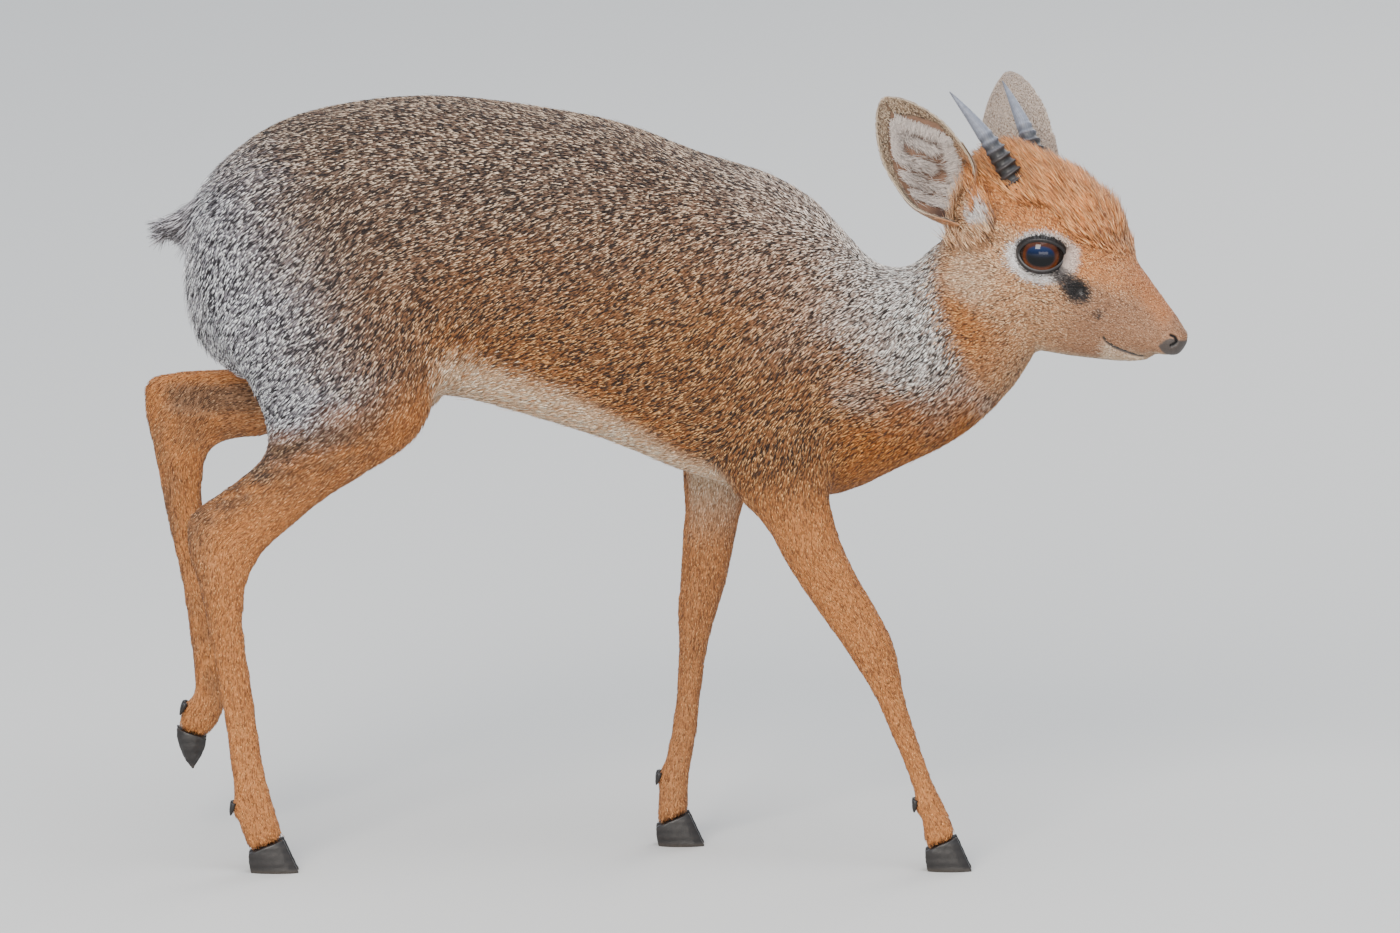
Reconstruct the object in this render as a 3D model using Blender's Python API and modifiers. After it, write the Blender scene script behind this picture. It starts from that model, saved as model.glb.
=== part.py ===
"""A life-size, still model of a dik-dik walking, its head turned a little to its right.

Metres, +Z up. The animal faces +X and its right side is towards -Y. It stands on three
hooves at Z = 0 and lifts its left hind foot.
"""
import math
import random

import bmesh
import bpy
import numpy as np
from mathutils import Matrix, Vector
from mathutils.bvhtree import BVHTree

# Driving dimensions
GAP = 0.0003                 # kept between two pieces that touch
BODY_VOXEL = 0.0024          # grain of the body's fused skin
HEAD_VOXEL = 0.0011          # grain of the head's fused skin
BODY_TRIANGLES = 5000        # faces left on neck, torso and legs
HEAD_TRIANGLES = 4300        # faces left on the head

# The head's own frame: x runs forward along the muzzle, y to its left, z up, from the
# point midway between the eyes
HEAD_PLACE = Vector((0.2117, -0.0300, 0.3412))
HEAD_YAW = math.radians(-32)
HEAD_PITCH = math.radians(25)
HEAD_ROLL = math.radians(3)

EYE_RADIUS = 0.0145
EYE_CENTRE = Vector((-0.0005, 0.0170, 0.0))
EYE_AXIS_ANGLE = math.radians(65)      # from straight ahead, outwards
EYE_SLANT = math.radians(20)           # front corner above the back one
LID_HALF_LENGTH = 0.0128
LID_HALF_HEIGHT = 0.0080
LID_THICKNESS = 0.0014
LID_REACH = 1.05             # angle from the eyeball's front that the lids cover, radians

EAR_LENGTH = 0.081
EAR_WIDTH = 0.040
EAR_THICKNESS = 0.0016
EAR_BOW = 0.006              # how far the middle of its back bows out
# Along an ear: how far up it, half the width as a share of the widest, angle of the curl
EAR_ROWS = [(0.00, 0.62, 2.40), (0.12, 0.82, 2.15), (0.27, 1.00, 1.75), (0.45, 1.04, 1.40),
            (0.63, 0.97, 1.20), (0.80, 0.73, 1.00), (0.93, 0.42, 0.80), (1.00, 0.14, 0.60)]
# Each ear's root, the way it points and the way its cup opens, in the head's frame
EARS = {
    "right": ((-0.0449, -0.0245, -0.0062), (-0.0605, -0.0330, 0.0452), (0.615, -0.759, 0.213)),
    "left": ((-0.0378, 0.0365, -0.0024), (-0.0585, 0.0260, 0.0440), (0.240, 0.880, -0.380)),
}
HORN_LENGTH = 0.061
HORN_RADIUS = 0.0062
HORN_SUNK = 0.006            # its root inside the skull
HORN_BOW = 0.009
HORN_RINGS = 8
HORN_RING_ZONE = 0.64        # share of the horn that the rings cover
HORN_RING_HEIGHT = 0.00045
SIDES = {"right": -1, "left": 1}

# Ribs: x and z of one edge, x and z of the other edge, y of the middle, half width.
# The torso's run from the rump to the neck, top edge first.
TRUNK_RIBS = [
    (-0.2575, 0.3420, -0.2590, 0.3120, 0.0, 0.0120),
    (-0.2510, 0.3670, -0.2530, 0.2880, 0.0, 0.0340),
    (-0.2350, 0.3870, -0.2350, 0.2680, 0.0, 0.0480),
    (-0.2050, 0.4055, -0.2050, 0.2570, 0.0, 0.0570),
    (-0.1650, 0.4155, -0.1650, 0.2540, 0.0, 0.0590),
    (-0.1220, 0.4185, -0.1180, 0.2555, 0.0, 0.0575),
    (-0.0750, 0.4135, -0.0750, 0.2450, 0.0, 0.0590),
    (-0.0250, 0.4040, -0.0300, 0.2305, 0.0, 0.0600),
    (0.0190, 0.3875, 0.0150, 0.2120, 0.0, 0.0570),
    (0.0550, 0.3765, 0.0550, 0.2035, 0.0, 0.0515),
    (0.0800, 0.3620, 0.0920, 0.2010, -0.001, 0.0460),
    (0.0980, 0.3430, 0.1270, 0.2165, -0.004, 0.0410),
    (0.1130, 0.3285, 0.1560, 0.2315, -0.008, 0.0365),
    (0.1300, 0.3265, 0.1780, 0.2505, -0.0115, 0.0350),
    (0.1460, 0.3405, 0.1920, 0.2700, -0.0145, 0.0365),
    (0.1630, 0.3530, 0.2060, 0.2960, -0.0150, 0.0365),
    (0.1830, 0.3560, 0.2120, 0.3200, -0.0145, 0.0290),
]

# Legs, front edge first, from inside the torso down to inside the hoof
LEG_RIBS = {
    "hind_right": [
        (-0.1450, 0.3550, -0.2150, 0.3550, -0.0300, 0.0180),
        (-0.1180, 0.3200, -0.2470, 0.3250, -0.0330, 0.0250),
        (-0.1155, 0.2900, -0.2460, 0.2970, -0.0355, 0.0280),
        (-0.1220, 0.2650, -0.2300, 0.2760, -0.0370, 0.0270),
        (-0.1270, 0.2470, -0.2195, 0.2570, -0.0385, 0.0225),
        (-0.1390, 0.2325, -0.2165, 0.2430, -0.0400, 0.0165),
        (-0.1600, 0.2190, -0.2185, 0.2295, -0.0395, 0.0135),
        (-0.1850, 0.2035, -0.2310, 0.2165, -0.0390, 0.0115),
        (-0.2020, 0.1890, -0.2470, 0.2045, -0.0385, 0.0105),
        (-0.2165, 0.1755, -0.2575, 0.1950, -0.0380, 0.0100),
        (-0.2255, 0.1580, -0.2580, 0.1780, -0.0380, 0.0095),
        (-0.2275, 0.1390, -0.2525, 0.1600, -0.0380, 0.0084),
        (-0.2260, 0.1220, -0.2470, 0.1340, -0.0378, 0.0077),
        (-0.2225, 0.1000, -0.2415, 0.1040, -0.0376, 0.0072),
        (-0.2185, 0.0700, -0.2365, 0.0700, -0.0374, 0.0070),
        (-0.2145, 0.0480, -0.2340, 0.0470, -0.0372, 0.0077),
        (-0.2095, 0.0310, -0.2315, 0.0290, -0.0370, 0.0077),
        (-0.2060, 0.0190, -0.2255, 0.0110, -0.0370, 0.0078),
        (-0.2040, 0.0080, -0.2225, 0.0030, -0.0370, 0.0070),
    ],
    "hind_left": [
        (-0.1450, 0.3550, -0.2150, 0.3550, 0.0300, 0.0180),
        (-0.1180, 0.3220, -0.2470, 0.3250, 0.0330, 0.0250),
        (-0.1130, 0.2950, -0.2460, 0.3000, 0.0355, 0.0280),
        (-0.1120, 0.2700, -0.2280, 0.2850, 0.0370, 0.0270),
        (-0.1160, 0.2500, -0.2185, 0.2715, 0.0390, 0.0225),
        (-0.1350, 0.2325, -0.2140, 0.2630, 0.0415, 0.0165),
        (-0.1680, 0.2235, -0.2220, 0.2620, 0.0418, 0.0135),
        (-0.2050, 0.2235, -0.2360, 0.2612, 0.0420, 0.0115),
        (-0.2320, 0.2225, -0.2580, 0.2603, 0.0420, 0.0105),
        (-0.2460, 0.2165, -0.2795, 0.2565, 0.0420, 0.0100),
        (-0.2505, 0.2020, -0.2825, 0.2400, 0.0420, 0.0095),
        (-0.2505, 0.1830, -0.2775, 0.2160, 0.0420, 0.0085),
        (-0.2480, 0.1560, -0.2705, 0.1780, 0.0420, 0.0078),
        (-0.2450, 0.1340, -0.2630, 0.1450, 0.0420, 0.0073),
        (-0.2425, 0.1100, -0.2585, 0.1120, 0.0420, 0.0069),
        (-0.2405, 0.0880, -0.2560, 0.0880, 0.0420, 0.0069),
        (-0.2390, 0.0760, -0.2580, 0.0780, 0.0420, 0.0076),
        (-0.2430, 0.0650, -0.2630, 0.0700, 0.0420, 0.0076),
        (-0.2490, 0.0580, -0.2660, 0.0640, 0.0420, 0.0074),
        (-0.2520, 0.0520, -0.2640, 0.0550, 0.0420, 0.0060),
    ],
    "fore_right": [
        (0.0980, 0.3000, 0.0200, 0.3000, -0.0260, 0.0210),
        (0.0945, 0.2620, 0.0180, 0.2620, -0.0310, 0.0225),
        (0.0900, 0.2320, 0.0220, 0.2320, -0.0340, 0.0205),
        (0.0885, 0.2080, 0.0360, 0.2090, -0.0350, 0.0170),
        (0.0935, 0.1840, 0.0535, 0.1900, -0.0355, 0.0135),
        (0.1035, 0.1620, 0.0650, 0.1690, -0.0355, 0.0115),
        (0.1145, 0.1430, 0.0790, 0.1470, -0.0350, 0.0100),
        (0.1235, 0.1240, 0.0930, 0.1270, -0.0345, 0.0092),
        (0.1270, 0.1080, 0.1035, 0.1110, -0.0340, 0.0089),
        (0.1295, 0.0940, 0.1125, 0.0960, -0.0338, 0.0078),
        (0.1350, 0.0760, 0.1205, 0.0770, -0.0336, 0.0069),
        (0.1420, 0.0550, 0.1290, 0.0570, -0.0334, 0.0067),
        (0.1475, 0.0420, 0.1340, 0.0420, -0.0332, 0.0075),
        (0.1525, 0.0320, 0.1375, 0.0310, -0.0330, 0.0074),
        (0.1575, 0.0195, 0.1400, 0.0115, -0.0330, 0.0076),
        (0.1600, 0.0080, 0.1440, 0.0030, -0.0330, 0.0068),
    ],
    "fore_left": [
        (0.0880, 0.3000, 0.0200, 0.3000, 0.0260, 0.0210),
        (0.0800, 0.2620, 0.0120, 0.2620, 0.0310, 0.0225),
        (0.0660, 0.2320, 0.0080, 0.2320, 0.0340, 0.0205),
        (0.0500, 0.2080, 0.0090, 0.2060, 0.0350, 0.0170),
        (0.0415, 0.1860, 0.0100, 0.1860, 0.0355, 0.0135),
        (0.0365, 0.1620, 0.0085, 0.1620, 0.0355, 0.0115),
        (0.0325, 0.1430, 0.0072, 0.1430, 0.0350, 0.0100),
        (0.0275, 0.1270, 0.0068, 0.1270, 0.0345, 0.0092),
        (0.0230, 0.1100, 0.0070, 0.1100, 0.0340, 0.0087),
        (0.0205, 0.0930, 0.0060, 0.0930, 0.0338, 0.0075),
        (0.0185, 0.0750, 0.0045, 0.0750, 0.0336, 0.0068),
        (0.0165, 0.0570, 0.0015, 0.0570, 0.0334, 0.0067),
        (0.0140, 0.0440, -0.0012, 0.0440, 0.0332, 0.0075),
        (0.0125, 0.0320, -0.0035, 0.0320, 0.0330, 0.0074),
        (0.0130, 0.0190, -0.0055, 0.0110, 0.0330, 0.0076),
        (0.0135, 0.0080, -0.0040, 0.0030, 0.0330, 0.0068),
    ],
}

# The point of each hock, x and z of a ball inside it
HEELS = {"hind_right": (-0.2510, 0.1900), "hind_left": (-0.2742, 0.2502)}
HEEL_RADIUS = 0.0078
DEWCLAW_RADIUS = 0.0032
TOE_SPACING = 0.0044         # from the foot's middle to each toe's
# A hoof from its coronet to its sole: how far its front and back edges stand ahead of the
# coronet's, the share of the coronet's height, and half the width
HOOF_SHAPE = [(0.0, 0.0, 1.0, 0.0036), (0.0026, -0.0004, 0.70, 0.0040),
              (0.0064, 0.0002, 0.25, 0.0042), (0.0088, 0.0010, 0.0, 0.0040)]
# The lifted hoof, which hangs by its coronet: the same, with how far each edge drops
LIFTED_HOOF = [(0.0, 0.0, 0.0, 0.0, 0.0036), (-0.0008, 0.0002, 0.0050, 0.0060, 0.0040),
               (-0.0036, 0.0020, 0.0110, 0.0115, 0.0036),
               (-0.0078, 0.0048, 0.0165, 0.0175, 0.0014)]

# Where each leg is parted below the hip or shoulder: the lower piece's name and the rib
# that the cut runs along
LEG_CUTS = {
    "hind_right": [("shank", 5.3), ("cannon", 9.6), ("foot", 14.7), ("hoof", 17.0)],
    "hind_left": [("shank", 5.3), ("cannon", 9.8), ("foot", 15.5), ("hoof", 18.0)],
    "fore_right": [("forearm", 3.4), ("cannon", 8.3), ("foot", 11.6), ("hoof", 14.0)],
    "fore_left": [("forearm", 3.4), ("cannon", 8.3), ("foot", 11.6), ("hoof", 14.0)],
}
TOP_NAMES = {"hind": "thigh", "fore": "shoulder"}
TWO_BY_TWO = ("thigh", "shoulder", "shank", "forearm")     # names that say hind or fore
# The round cut that parts a leg from the torso: centre x, centre z, radius, how near to the
# middle plane it reaches, how many sixteenths of a half turn it takes, and how far above its
# centre it then runs out to the rear (the hind one passes over the lifted hock)
TOP_CUTS = {"hind": (-0.1900, 0.2550, 0.0800, 0.0050, 14, 0.045),
            "fore": (0.0550, 0.2400, 0.0550, 0.0080, 16, -0.100)}

# The tail's core, inside its hair
TAIL_RIBS = [
    (-0.2300, 0.3790, -0.2400, 0.3450, 0.0, 0.0105),
    (-0.2440, 0.3690, -0.2500, 0.3440, 0.0, 0.0090),
    (-0.2570, 0.3610, -0.2590, 0.3435, 0.0, 0.0072),
    (-0.2655, 0.3550, -0.2650, 0.3435, 0.0, 0.0045),
]
TAIL_WAY = Vector((-0.88, 0.0, -0.48))
# Rows of locks on the tail: a place on its middle line and how many go round it there
TAIL_ROWS = [((-0.2622, 0.0, 0.3520), 4), ((-0.2644, 0.0, 0.3500), 4)]
TAIL_LOCK = (0.0140, 0.0066, 0.0014)           # length, width, thickness

# The skull and muzzle in the head's frame, top edge first, from the nape to the nose
SKULL_RIBS = [
    (-0.0640, 0.0120, -0.0560, -0.0340, 0.0, 0.0160),
    (-0.0580, 0.0250, -0.0460, -0.0500, 0.0, 0.0225),
    (-0.0440, 0.0320, -0.0300, -0.0590, 0.0, 0.0258),
    (-0.0240, 0.0345, -0.0120, -0.0600, 0.0, 0.0280),
    (-0.0020, 0.0335, 0.0060, -0.0575, 0.0, 0.0285),
    (0.0140, 0.0300, 0.0200, -0.0535, 0.0, 0.0260),
    (0.0270, 0.0250, 0.0320, -0.0490, 0.0, 0.0215),
    (0.0380, 0.0195, 0.0425, -0.0443, 0.0, 0.0176),
    (0.0500, 0.0145, 0.0530, -0.0393, 0.0, 0.0142),
    (0.0620, 0.0095, 0.0630, -0.0340, 0.0, 0.0118),
    (0.0730, 0.0050, 0.0720, -0.0282, 0.0, 0.0102),
    (0.0815, 0.0010, 0.0790, -0.0205, 0.0, 0.0092),
    (0.0875, -0.0022, 0.0860, -0.0165, 0.0, 0.0078),
    (0.0905, -0.0055, 0.0892, -0.0130, 0.0, 0.0045),
]
# The crest's outline on the crown and forehead, out to the tips of its hair
CREST_RIBS = [
    (-0.0640, 0.0320, -0.0500, 0.0080, 0.0, 0.0120),
    (-0.0540, 0.0400, -0.0400, 0.0100, 0.0, 0.0170),
    (-0.0320, 0.0435, -0.0200, 0.0100, 0.0, 0.0200),
    (-0.0060, 0.0437, 0.0020, 0.0080, 0.0, 0.0200),
    (0.0145, 0.0412, 0.0160, 0.0060, 0.0, 0.0180),
    (0.0300, 0.0355, 0.0260, 0.0030, 0.0, 0.0140),
    (0.0412, 0.0237, 0.0340, 0.0020, 0.0, 0.0095),
    (0.0470, 0.0145, 0.0400, 0.0020, 0.0, 0.0060),
]
CREST_RISE = 0.0048          # how far the locks' tips stand above the crest's core
# Rows of locks on the crest: x in the head's frame and how many go across
CREST_ROWS = [(0.0380, 2), (0.0300, 3), (0.0210, 4), (0.0120, 5), (0.0030, 4), (-0.0060, 5),
              (-0.0150, 3), (-0.0250, 1), (-0.0340, 1), (-0.0430, 1)]
CREST_SPREAD = math.radians(66)                # how far down each side the rows reach
CREST_LOCK = (0.0165, 0.0090, 0.0016)          # length, width, thickness
# Along a lock from its sunk root: share of its length, of its width and of its thickness
LOCK_SHAPE = [(-0.14, 0.80, 1.00), (0.32, 1.00, 0.95), (0.70, 0.74, 0.60)]
GLAND = (0.0285, 0.0205, -0.0068)              # hollow in front of each eye
GLAND_RADIUS = 0.0030
NOSTRIL = (0.0882, 0.0052, -0.0078)
NOSTRIL_RADIUS = 0.0017
MOUTH_LINE = [(0.0485, -0.0262), (0.0560, -0.0280), (0.0640, -0.0268),
              (0.0720, -0.0240), (0.0790, -0.0200)]
HEAD_CUT_POINT = Vector((-0.0190, 0.0, -0.0620))
HEAD_CUT_NORMAL = Vector((0.70, 0.0, 0.71))
NECK_CUT = (Vector((0.1290, 0.0, 0.2080)), Vector((0.1010, 0.0, 0.3420)))

COLOURS = {
    "coat": ((0.33, 0.22, 0.13, 1.0), 0.85),
    "grey_coat": ((0.22, 0.18, 0.14, 1.0), 0.85),
    "rufous_coat": ((0.45, 0.22, 0.09, 1.0), 0.85),
    "tan_coat": ((0.44, 0.25, 0.13, 1.0), 0.85),
    "horn": ((0.05, 0.05, 0.055, 1.0), 0.45),
    "hoof": ((0.02, 0.018, 0.016, 1.0), 0.40),
    "eye": ((0.03, 0.012, 0.005, 1.0), 0.08),
}


def clear_scene():
    for obj in list(bpy.data.objects):
        bpy.data.objects.remove(obj, do_unlink=True)


def new_collection(name):
    collection = bpy.data.collections.new(name)
    bpy.context.scene.collection.children.link(collection)
    return collection


def material(name):
    found = bpy.data.materials.get(name)
    if found:
        return found
    made = bpy.data.materials.new(name)
    made.use_nodes = True
    shader = made.node_tree.nodes["Principled BSDF"]
    colour, roughness = COLOURS[name]
    shader.inputs["Base Color"].default_value = colour
    shader.inputs["Roughness"].default_value = roughness
    return made


def add_mesh(name, verts, faces, collection):
    mesh = bpy.data.meshes.new(name)
    mesh.from_pydata([tuple(v) for v in verts], [], faces)
    mesh.validate()
    obj = bpy.data.objects.new(name, mesh)
    collection.objects.link(obj)
    return obj


def remove(obj):
    mesh = obj.data
    bpy.data.objects.remove(obj, do_unlink=True)
    bpy.data.meshes.remove(mesh)


def bake(obj):
    """Make the result of an object's modifiers its own mesh."""
    bpy.context.view_layer.update()
    graph = bpy.context.evaluated_depsgraph_get()
    mesh = bpy.data.meshes.new_from_object(obj.evaluated_get(graph))
    obj.modifiers.clear()
    old = obj.data
    obj.data = mesh
    bpy.data.meshes.remove(old)


def spline(rows, steps):
    """Rows read from a smooth curve through the given rows, `steps` to each stretch."""
    rows = np.array(rows, float)
    ends = np.vstack([2 * rows[0] - rows[1], rows, 2 * rows[-1] - rows[-2]])
    out = []
    for i in range(len(rows) - 1):
        a, b, c, d = ends[i:i + 4]
        for t in np.linspace(0, 1, steps, endpoint=False):
            out.append(0.5 * (2 * b + (c - a) * t + (2 * a - 5 * b + 4 * c - d) * t ** 2
                              + (3 * b - a - 3 * c + d) * t ** 3))
    out.append(rows[-1])
    return np.array(out)


def loft(name, ribs, collection, around=24, steps=4, fullness=2.2):
    """A closed skin through ribs. Fullness 2 makes oval sections, more makes fuller ones."""
    verts = []
    turn = np.linspace(0, 2 * math.pi, around, endpoint=False)
    across = np.sign(np.cos(turn)) * np.abs(np.cos(turn)) ** (2 / fullness)
    along = np.sign(np.sin(turn)) * np.abs(np.sin(turn)) ** (2 / fullness)
    rows = spline(ribs, steps)
    for ax, az, bx, bz, y, half in rows:
        for p, q in zip(across, along):
            verts.append(((ax + bx) / 2 + (ax - bx) / 2 * q, y + half * p,
                          (az + bz) / 2 + (az - bz) / 2 * q))
    faces = []
    for i in range(len(rows) - 1):
        for k in range(around):
            n = (k + 1) % around
            faces.append((i * around + k, i * around + n, (i + 1) * around + n,
                          (i + 1) * around + k))
    last = (len(rows) - 1) * around
    faces.append(tuple(range(around))[::-1])
    faces.append(tuple(range(last, last + around)))
    obj = add_mesh(name, verts, faces, collection)
    face_out(obj)
    return obj


def face_out(obj):
    """Turn the faces of a closed mesh outwards."""
    work = bmesh.new()
    work.from_mesh(obj.data)
    bmesh.ops.recalc_face_normals(work, faces=work.faces)
    if work.calc_volume(signed=True) < 0:
        bmesh.ops.reverse_faces(work, faces=work.faces)
    work.to_mesh(obj.data)
    work.free()


def fuse(objects, name, voxel, smoothing):
    """Join overlapping closed pieces into one skin."""
    keep = objects[0]
    with bpy.context.temp_override(active_object=keep, object=keep,
                                   selected_objects=objects,
                                   selected_editable_objects=objects):
        bpy.ops.object.join()
    keep.name = name
    grain = keep.modifiers.new("grain", "REMESH")
    grain.mode = "VOXEL"
    grain.voxel_size = voxel
    soft = keep.modifiers.new("soft", "SMOOTH")
    soft.factor = 0.5
    soft.iterations = smoothing
    bake(keep)
    return keep


def soften(obj, share, times):
    """Smooth each point of a skin by its share, so that forms run into each other."""
    group = obj.vertex_groups.new(name="share")
    for i in np.nonzero(share > 0)[0]:
        group.add([int(i)], float(share[i]), "REPLACE")
    soft = obj.modifiers.new("share", "SMOOTH")
    soft.factor = 0.5
    soft.iterations = times
    soft.vertex_group = "share"
    bake(obj)


def coarsen(obj, triangles):
    """Leave about this many triangles, most of them where the shape turns."""
    split = obj.modifiers.new("split", "TRIANGULATE")
    split.quad_method = "SHORTEST_DIAGONAL"
    bake(obj)
    fewer = obj.modifiers.new("fewer", "DECIMATE")
    fewer.ratio = triangles / len(obj.data.polygons)
    bake(obj)


def boolean(obj, operation, other=None, group=None, solver="EXACT"):
    step = obj.modifiers.new(operation.lower(), "BOOLEAN")
    step.operation = operation
    step.solver = solver
    if group:
        step.operand_type = "COLLECTION"
        step.collection = group
    else:
        step.object = other
    bake(obj)


def keep_largest(obj):
    """Keep the largest closed surface of a mesh."""
    pieces = loose_pieces(obj, obj.users_collection[0])
    pieces.sort(key=lambda piece: -max(piece.dimensions))
    best = pieces[0]
    for piece in pieces[1:]:
        remove(piece)
    return best


def loose_pieces(obj, collection):
    """Split an object into its separate closed surfaces."""
    before = set(collection.objects)
    bpy.context.view_layer.objects.active = obj
    for other in bpy.context.view_layer.objects:
        other.select_set(other == obj)
    bpy.ops.object.mode_set(mode="EDIT")
    bpy.ops.mesh.select_all(action="SELECT")
    bpy.ops.mesh.separate(type="LOOSE")
    bpy.ops.object.mode_set(mode="OBJECT")
    return [obj] + [piece for piece in collection.objects if piece not in before]


def head_matrix():
    turn = (Matrix.Rotation(HEAD_YAW, 4, "Z") @ Matrix.Rotation(HEAD_PITCH, 4, "Y")
            @ Matrix.Rotation(-HEAD_ROLL, 4, "X"))
    return Matrix.Translation(HEAD_PLACE) @ turn


def eye_frame(side):
    """Centre of an eyeball and its outward, lengthwise and upward directions."""
    centre = Vector((EYE_CENTRE.x, side * EYE_CENTRE.y, EYE_CENTRE.z))
    out = Vector((math.cos(EYE_AXIS_ANGLE), side * math.sin(EYE_AXIS_ANGLE), 0.05))
    out.normalize()
    long = Vector((math.cos(EYE_SLANT), 0, math.sin(EYE_SLANT)))
    long = (long - long.dot(out) * out).normalized()
    up = out.cross(long) * -side
    return centre, out, long, up


def ramp(value, start, end):
    """0 at start, 1 at end, smooth between."""
    t = np.clip((value - start) / (end - start), 0, 1)
    return t * t * (3 - 2 * t)


def cover_eye(points, side, pull):
    """Keep the head's surface over the front of the eyeball as closed lids.

    Pull draws the surface around the eye down onto the eyeball too, by that share.
    """
    centre, out, _, _ = (np.array(v) for v in eye_frame(side))
    away = points - centre
    reach = np.linalg.norm(away, axis=1)
    way = away / np.maximum(reach, 1e-9)[:, None]
    angle = np.arccos(np.clip(way @ out, -1, 1))
    lid = EYE_RADIUS + LID_THICKNESS
    weight = pull * (1 - ramp(angle, LID_REACH, LID_REACH + 0.50))
    weight = weight * (1 - ramp(np.abs(reach - lid), 0.0060, 0.0100))
    moved = reach + (lid - reach) * weight
    front = (angle < LID_REACH + 0.40) & (reach > EYE_RADIUS - 0.008)
    moved = np.where(front, np.maximum(moved, lid), moved)
    return centre + way * moved[:, None]


def lid_opening(side, collection):
    """A cone from inside the eyeball that cuts the almond between the lids."""
    centre, out, long, up = eye_frame(side)
    verts = []
    count = 22
    for reach in (0.6 * EYE_RADIUS, 1.5 * EYE_RADIUS):
        for k in range(count):
            turn = 2 * math.pi * k / count
            along = math.cos(turn) * LID_HALF_LENGTH * (1.08 if math.cos(turn) > 0 else 1.0)
            above = math.sin(turn) * LID_HALF_HEIGHT * (1.0 if math.sin(turn) > 0 else 0.9)
            spread = math.hypot(along, above)
            angle = spread / EYE_RADIUS
            way = out * math.cos(angle) + (long * along + up * above) * (math.sin(angle) / spread)
            verts.append(centre + way * reach)
    faces = [tuple(range(count)), tuple(range(2 * count - 1, count - 1, -1))]
    for k in range(count):
        n = (k + 1) % count
        faces.append((k, n, count + n, count + k))
    obj = add_mesh("lid_opening", verts, faces, collection)
    face_out(obj)
    return obj


def groove(points, normals, line, depth, width):
    """Sink a groove along a line seen from the side."""
    course = spline(line, 8)
    gap = np.full(len(points), 1.0)
    for a, b in zip(course[:-1], course[1:]):
        run = b - a
        flat = points[:, [0, 2]] - a
        t = np.clip(flat @ run / (run @ run), 0, 1)
        gap = np.minimum(gap, np.linalg.norm(flat - t[:, None] * run, axis=1))
    sink = depth * np.exp(-(gap / width) ** 2)
    return points - normals * sink[:, None]


def dent(points, normals, place, radius, depth):
    gap = np.linalg.norm(points - np.array(place), axis=1)
    sink = depth * np.exp(-(gap / radius) ** 2)
    return points - normals * sink[:, None]


def read_points(obj):
    count = len(obj.data.vertices)
    points = np.empty(count * 3)
    obj.data.vertices.foreach_get("co", points)
    normals = np.empty(count * 3)
    obj.data.vertices.foreach_get("normal", normals)
    return points.reshape(-1, 3), normals.reshape(-1, 3)


def write_points(obj, points):
    obj.data.vertices.foreach_set("co", points.ravel())
    obj.data.update()


def make_head(parts, cutters):
    """The head with lids, nostrils and mouth line, parted from the neck."""
    place = head_matrix()
    skull = loft("skull", SKULL_RIBS, parts, fullness=2.15)
    core = [(ax, az - CREST_RISE, bx, bz, y, half - 0.7 * CREST_RISE)
            for ax, az, bx, bz, y, half in CREST_RIBS]
    crest = loft("crest", core, parts)
    neck = loft("neck_root", TRUNK_RIBS[9:], parts, around=36, fullness=2.25)
    neck.data.transform(place.inverted())
    head = fuse([skull, crest, neck], "head", HEAD_VOXEL, 6)
    points, _ = read_points(head)
    soften(head, 1 - ramp(points[:, 0], 0.030, 0.055), 26)
    for pull in (1, 0):
        for side in SIDES.values():
            points, _ = read_points(head)
            write_points(head, cover_eye(points, side, pull))
        if pull:
            centres = [np.array(eye_frame(side)[0]) for side in SIDES.values()]
            away = np.min([np.linalg.norm(points - c, axis=1) for c in centres], axis=0)
            soften(head, 1 - ramp(away, 0.020, 0.026), 14)
    points, normals = read_points(head)
    points = groove(points, normals, MOUTH_LINE, 0.0017, 0.0013)
    for side in SIDES.values():
        place_at = (GLAND[0], side * GLAND[1], GLAND[2])
        points = dent(points, normals, place_at, GLAND_RADIUS, GLAND_RADIUS / 2)
    write_points(head, points)
    coarsen(head, HEAD_TRIANGLES)
    cut = block("head_cut", (0.3, 0.3, 0.2), cutters)
    normal = HEAD_CUT_NORMAL.normalized()
    cut.matrix_world = (Matrix.Translation(HEAD_CUT_POINT - normal * (0.1 - GAP / 2))
                        @ normal.to_track_quat("Z", "Y").to_matrix().to_4x4())
    boolean(head, "DIFFERENCE", cut)
    head = keep_largest(head)
    for side in SIDES.values():
        boolean(head, "DIFFERENCE", lid_opening(side, cutters))
        nostril = ball("nostril", NOSTRIL_RADIUS, (0, 0, 0), cutters, segments=10, rings=6)
        nostril.data.transform(Matrix.Translation((NOSTRIL[0], side * NOSTRIL[1], NOSTRIL[2]))
                               @ Matrix.Rotation(side * 0.5, 4, "Z")
                               @ Matrix.Rotation(-0.5, 4, "Y")
                               @ Matrix.Diagonal((1.9, 1.0, 0.75, 1)))
        boolean(head, "DIFFERENCE", nostril)
        socket = ball("socket", EYE_RADIUS + GAP + 0.0001, eye_frame(side)[0], cutters)
        boolean(head, "DIFFERENCE", socket)
    head = keep_largest(head)
    head.name = "head"
    head.data.transform(place)
    return head


def block(name, size, collection):
    bpy.ops.mesh.primitive_cube_add(size=1)
    obj = bpy.context.object
    obj.name = name
    obj.data.transform(Matrix.Diagonal((*size, 1)))
    move_to(obj, collection)
    return obj


def ball(name, radius, centre, collection, segments=18, rings=10):
    bpy.ops.mesh.primitive_uv_sphere_add(segments=segments, ring_count=rings,
                                         radius=radius)
    obj = bpy.context.object
    obj.name = name
    obj.data.transform(Matrix.Translation(centre))
    move_to(obj, collection)
    return obj


def move_to(obj, collection):
    for old in obj.users_collection:
        old.objects.unlink(obj)
    collection.objects.link(obj)


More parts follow.
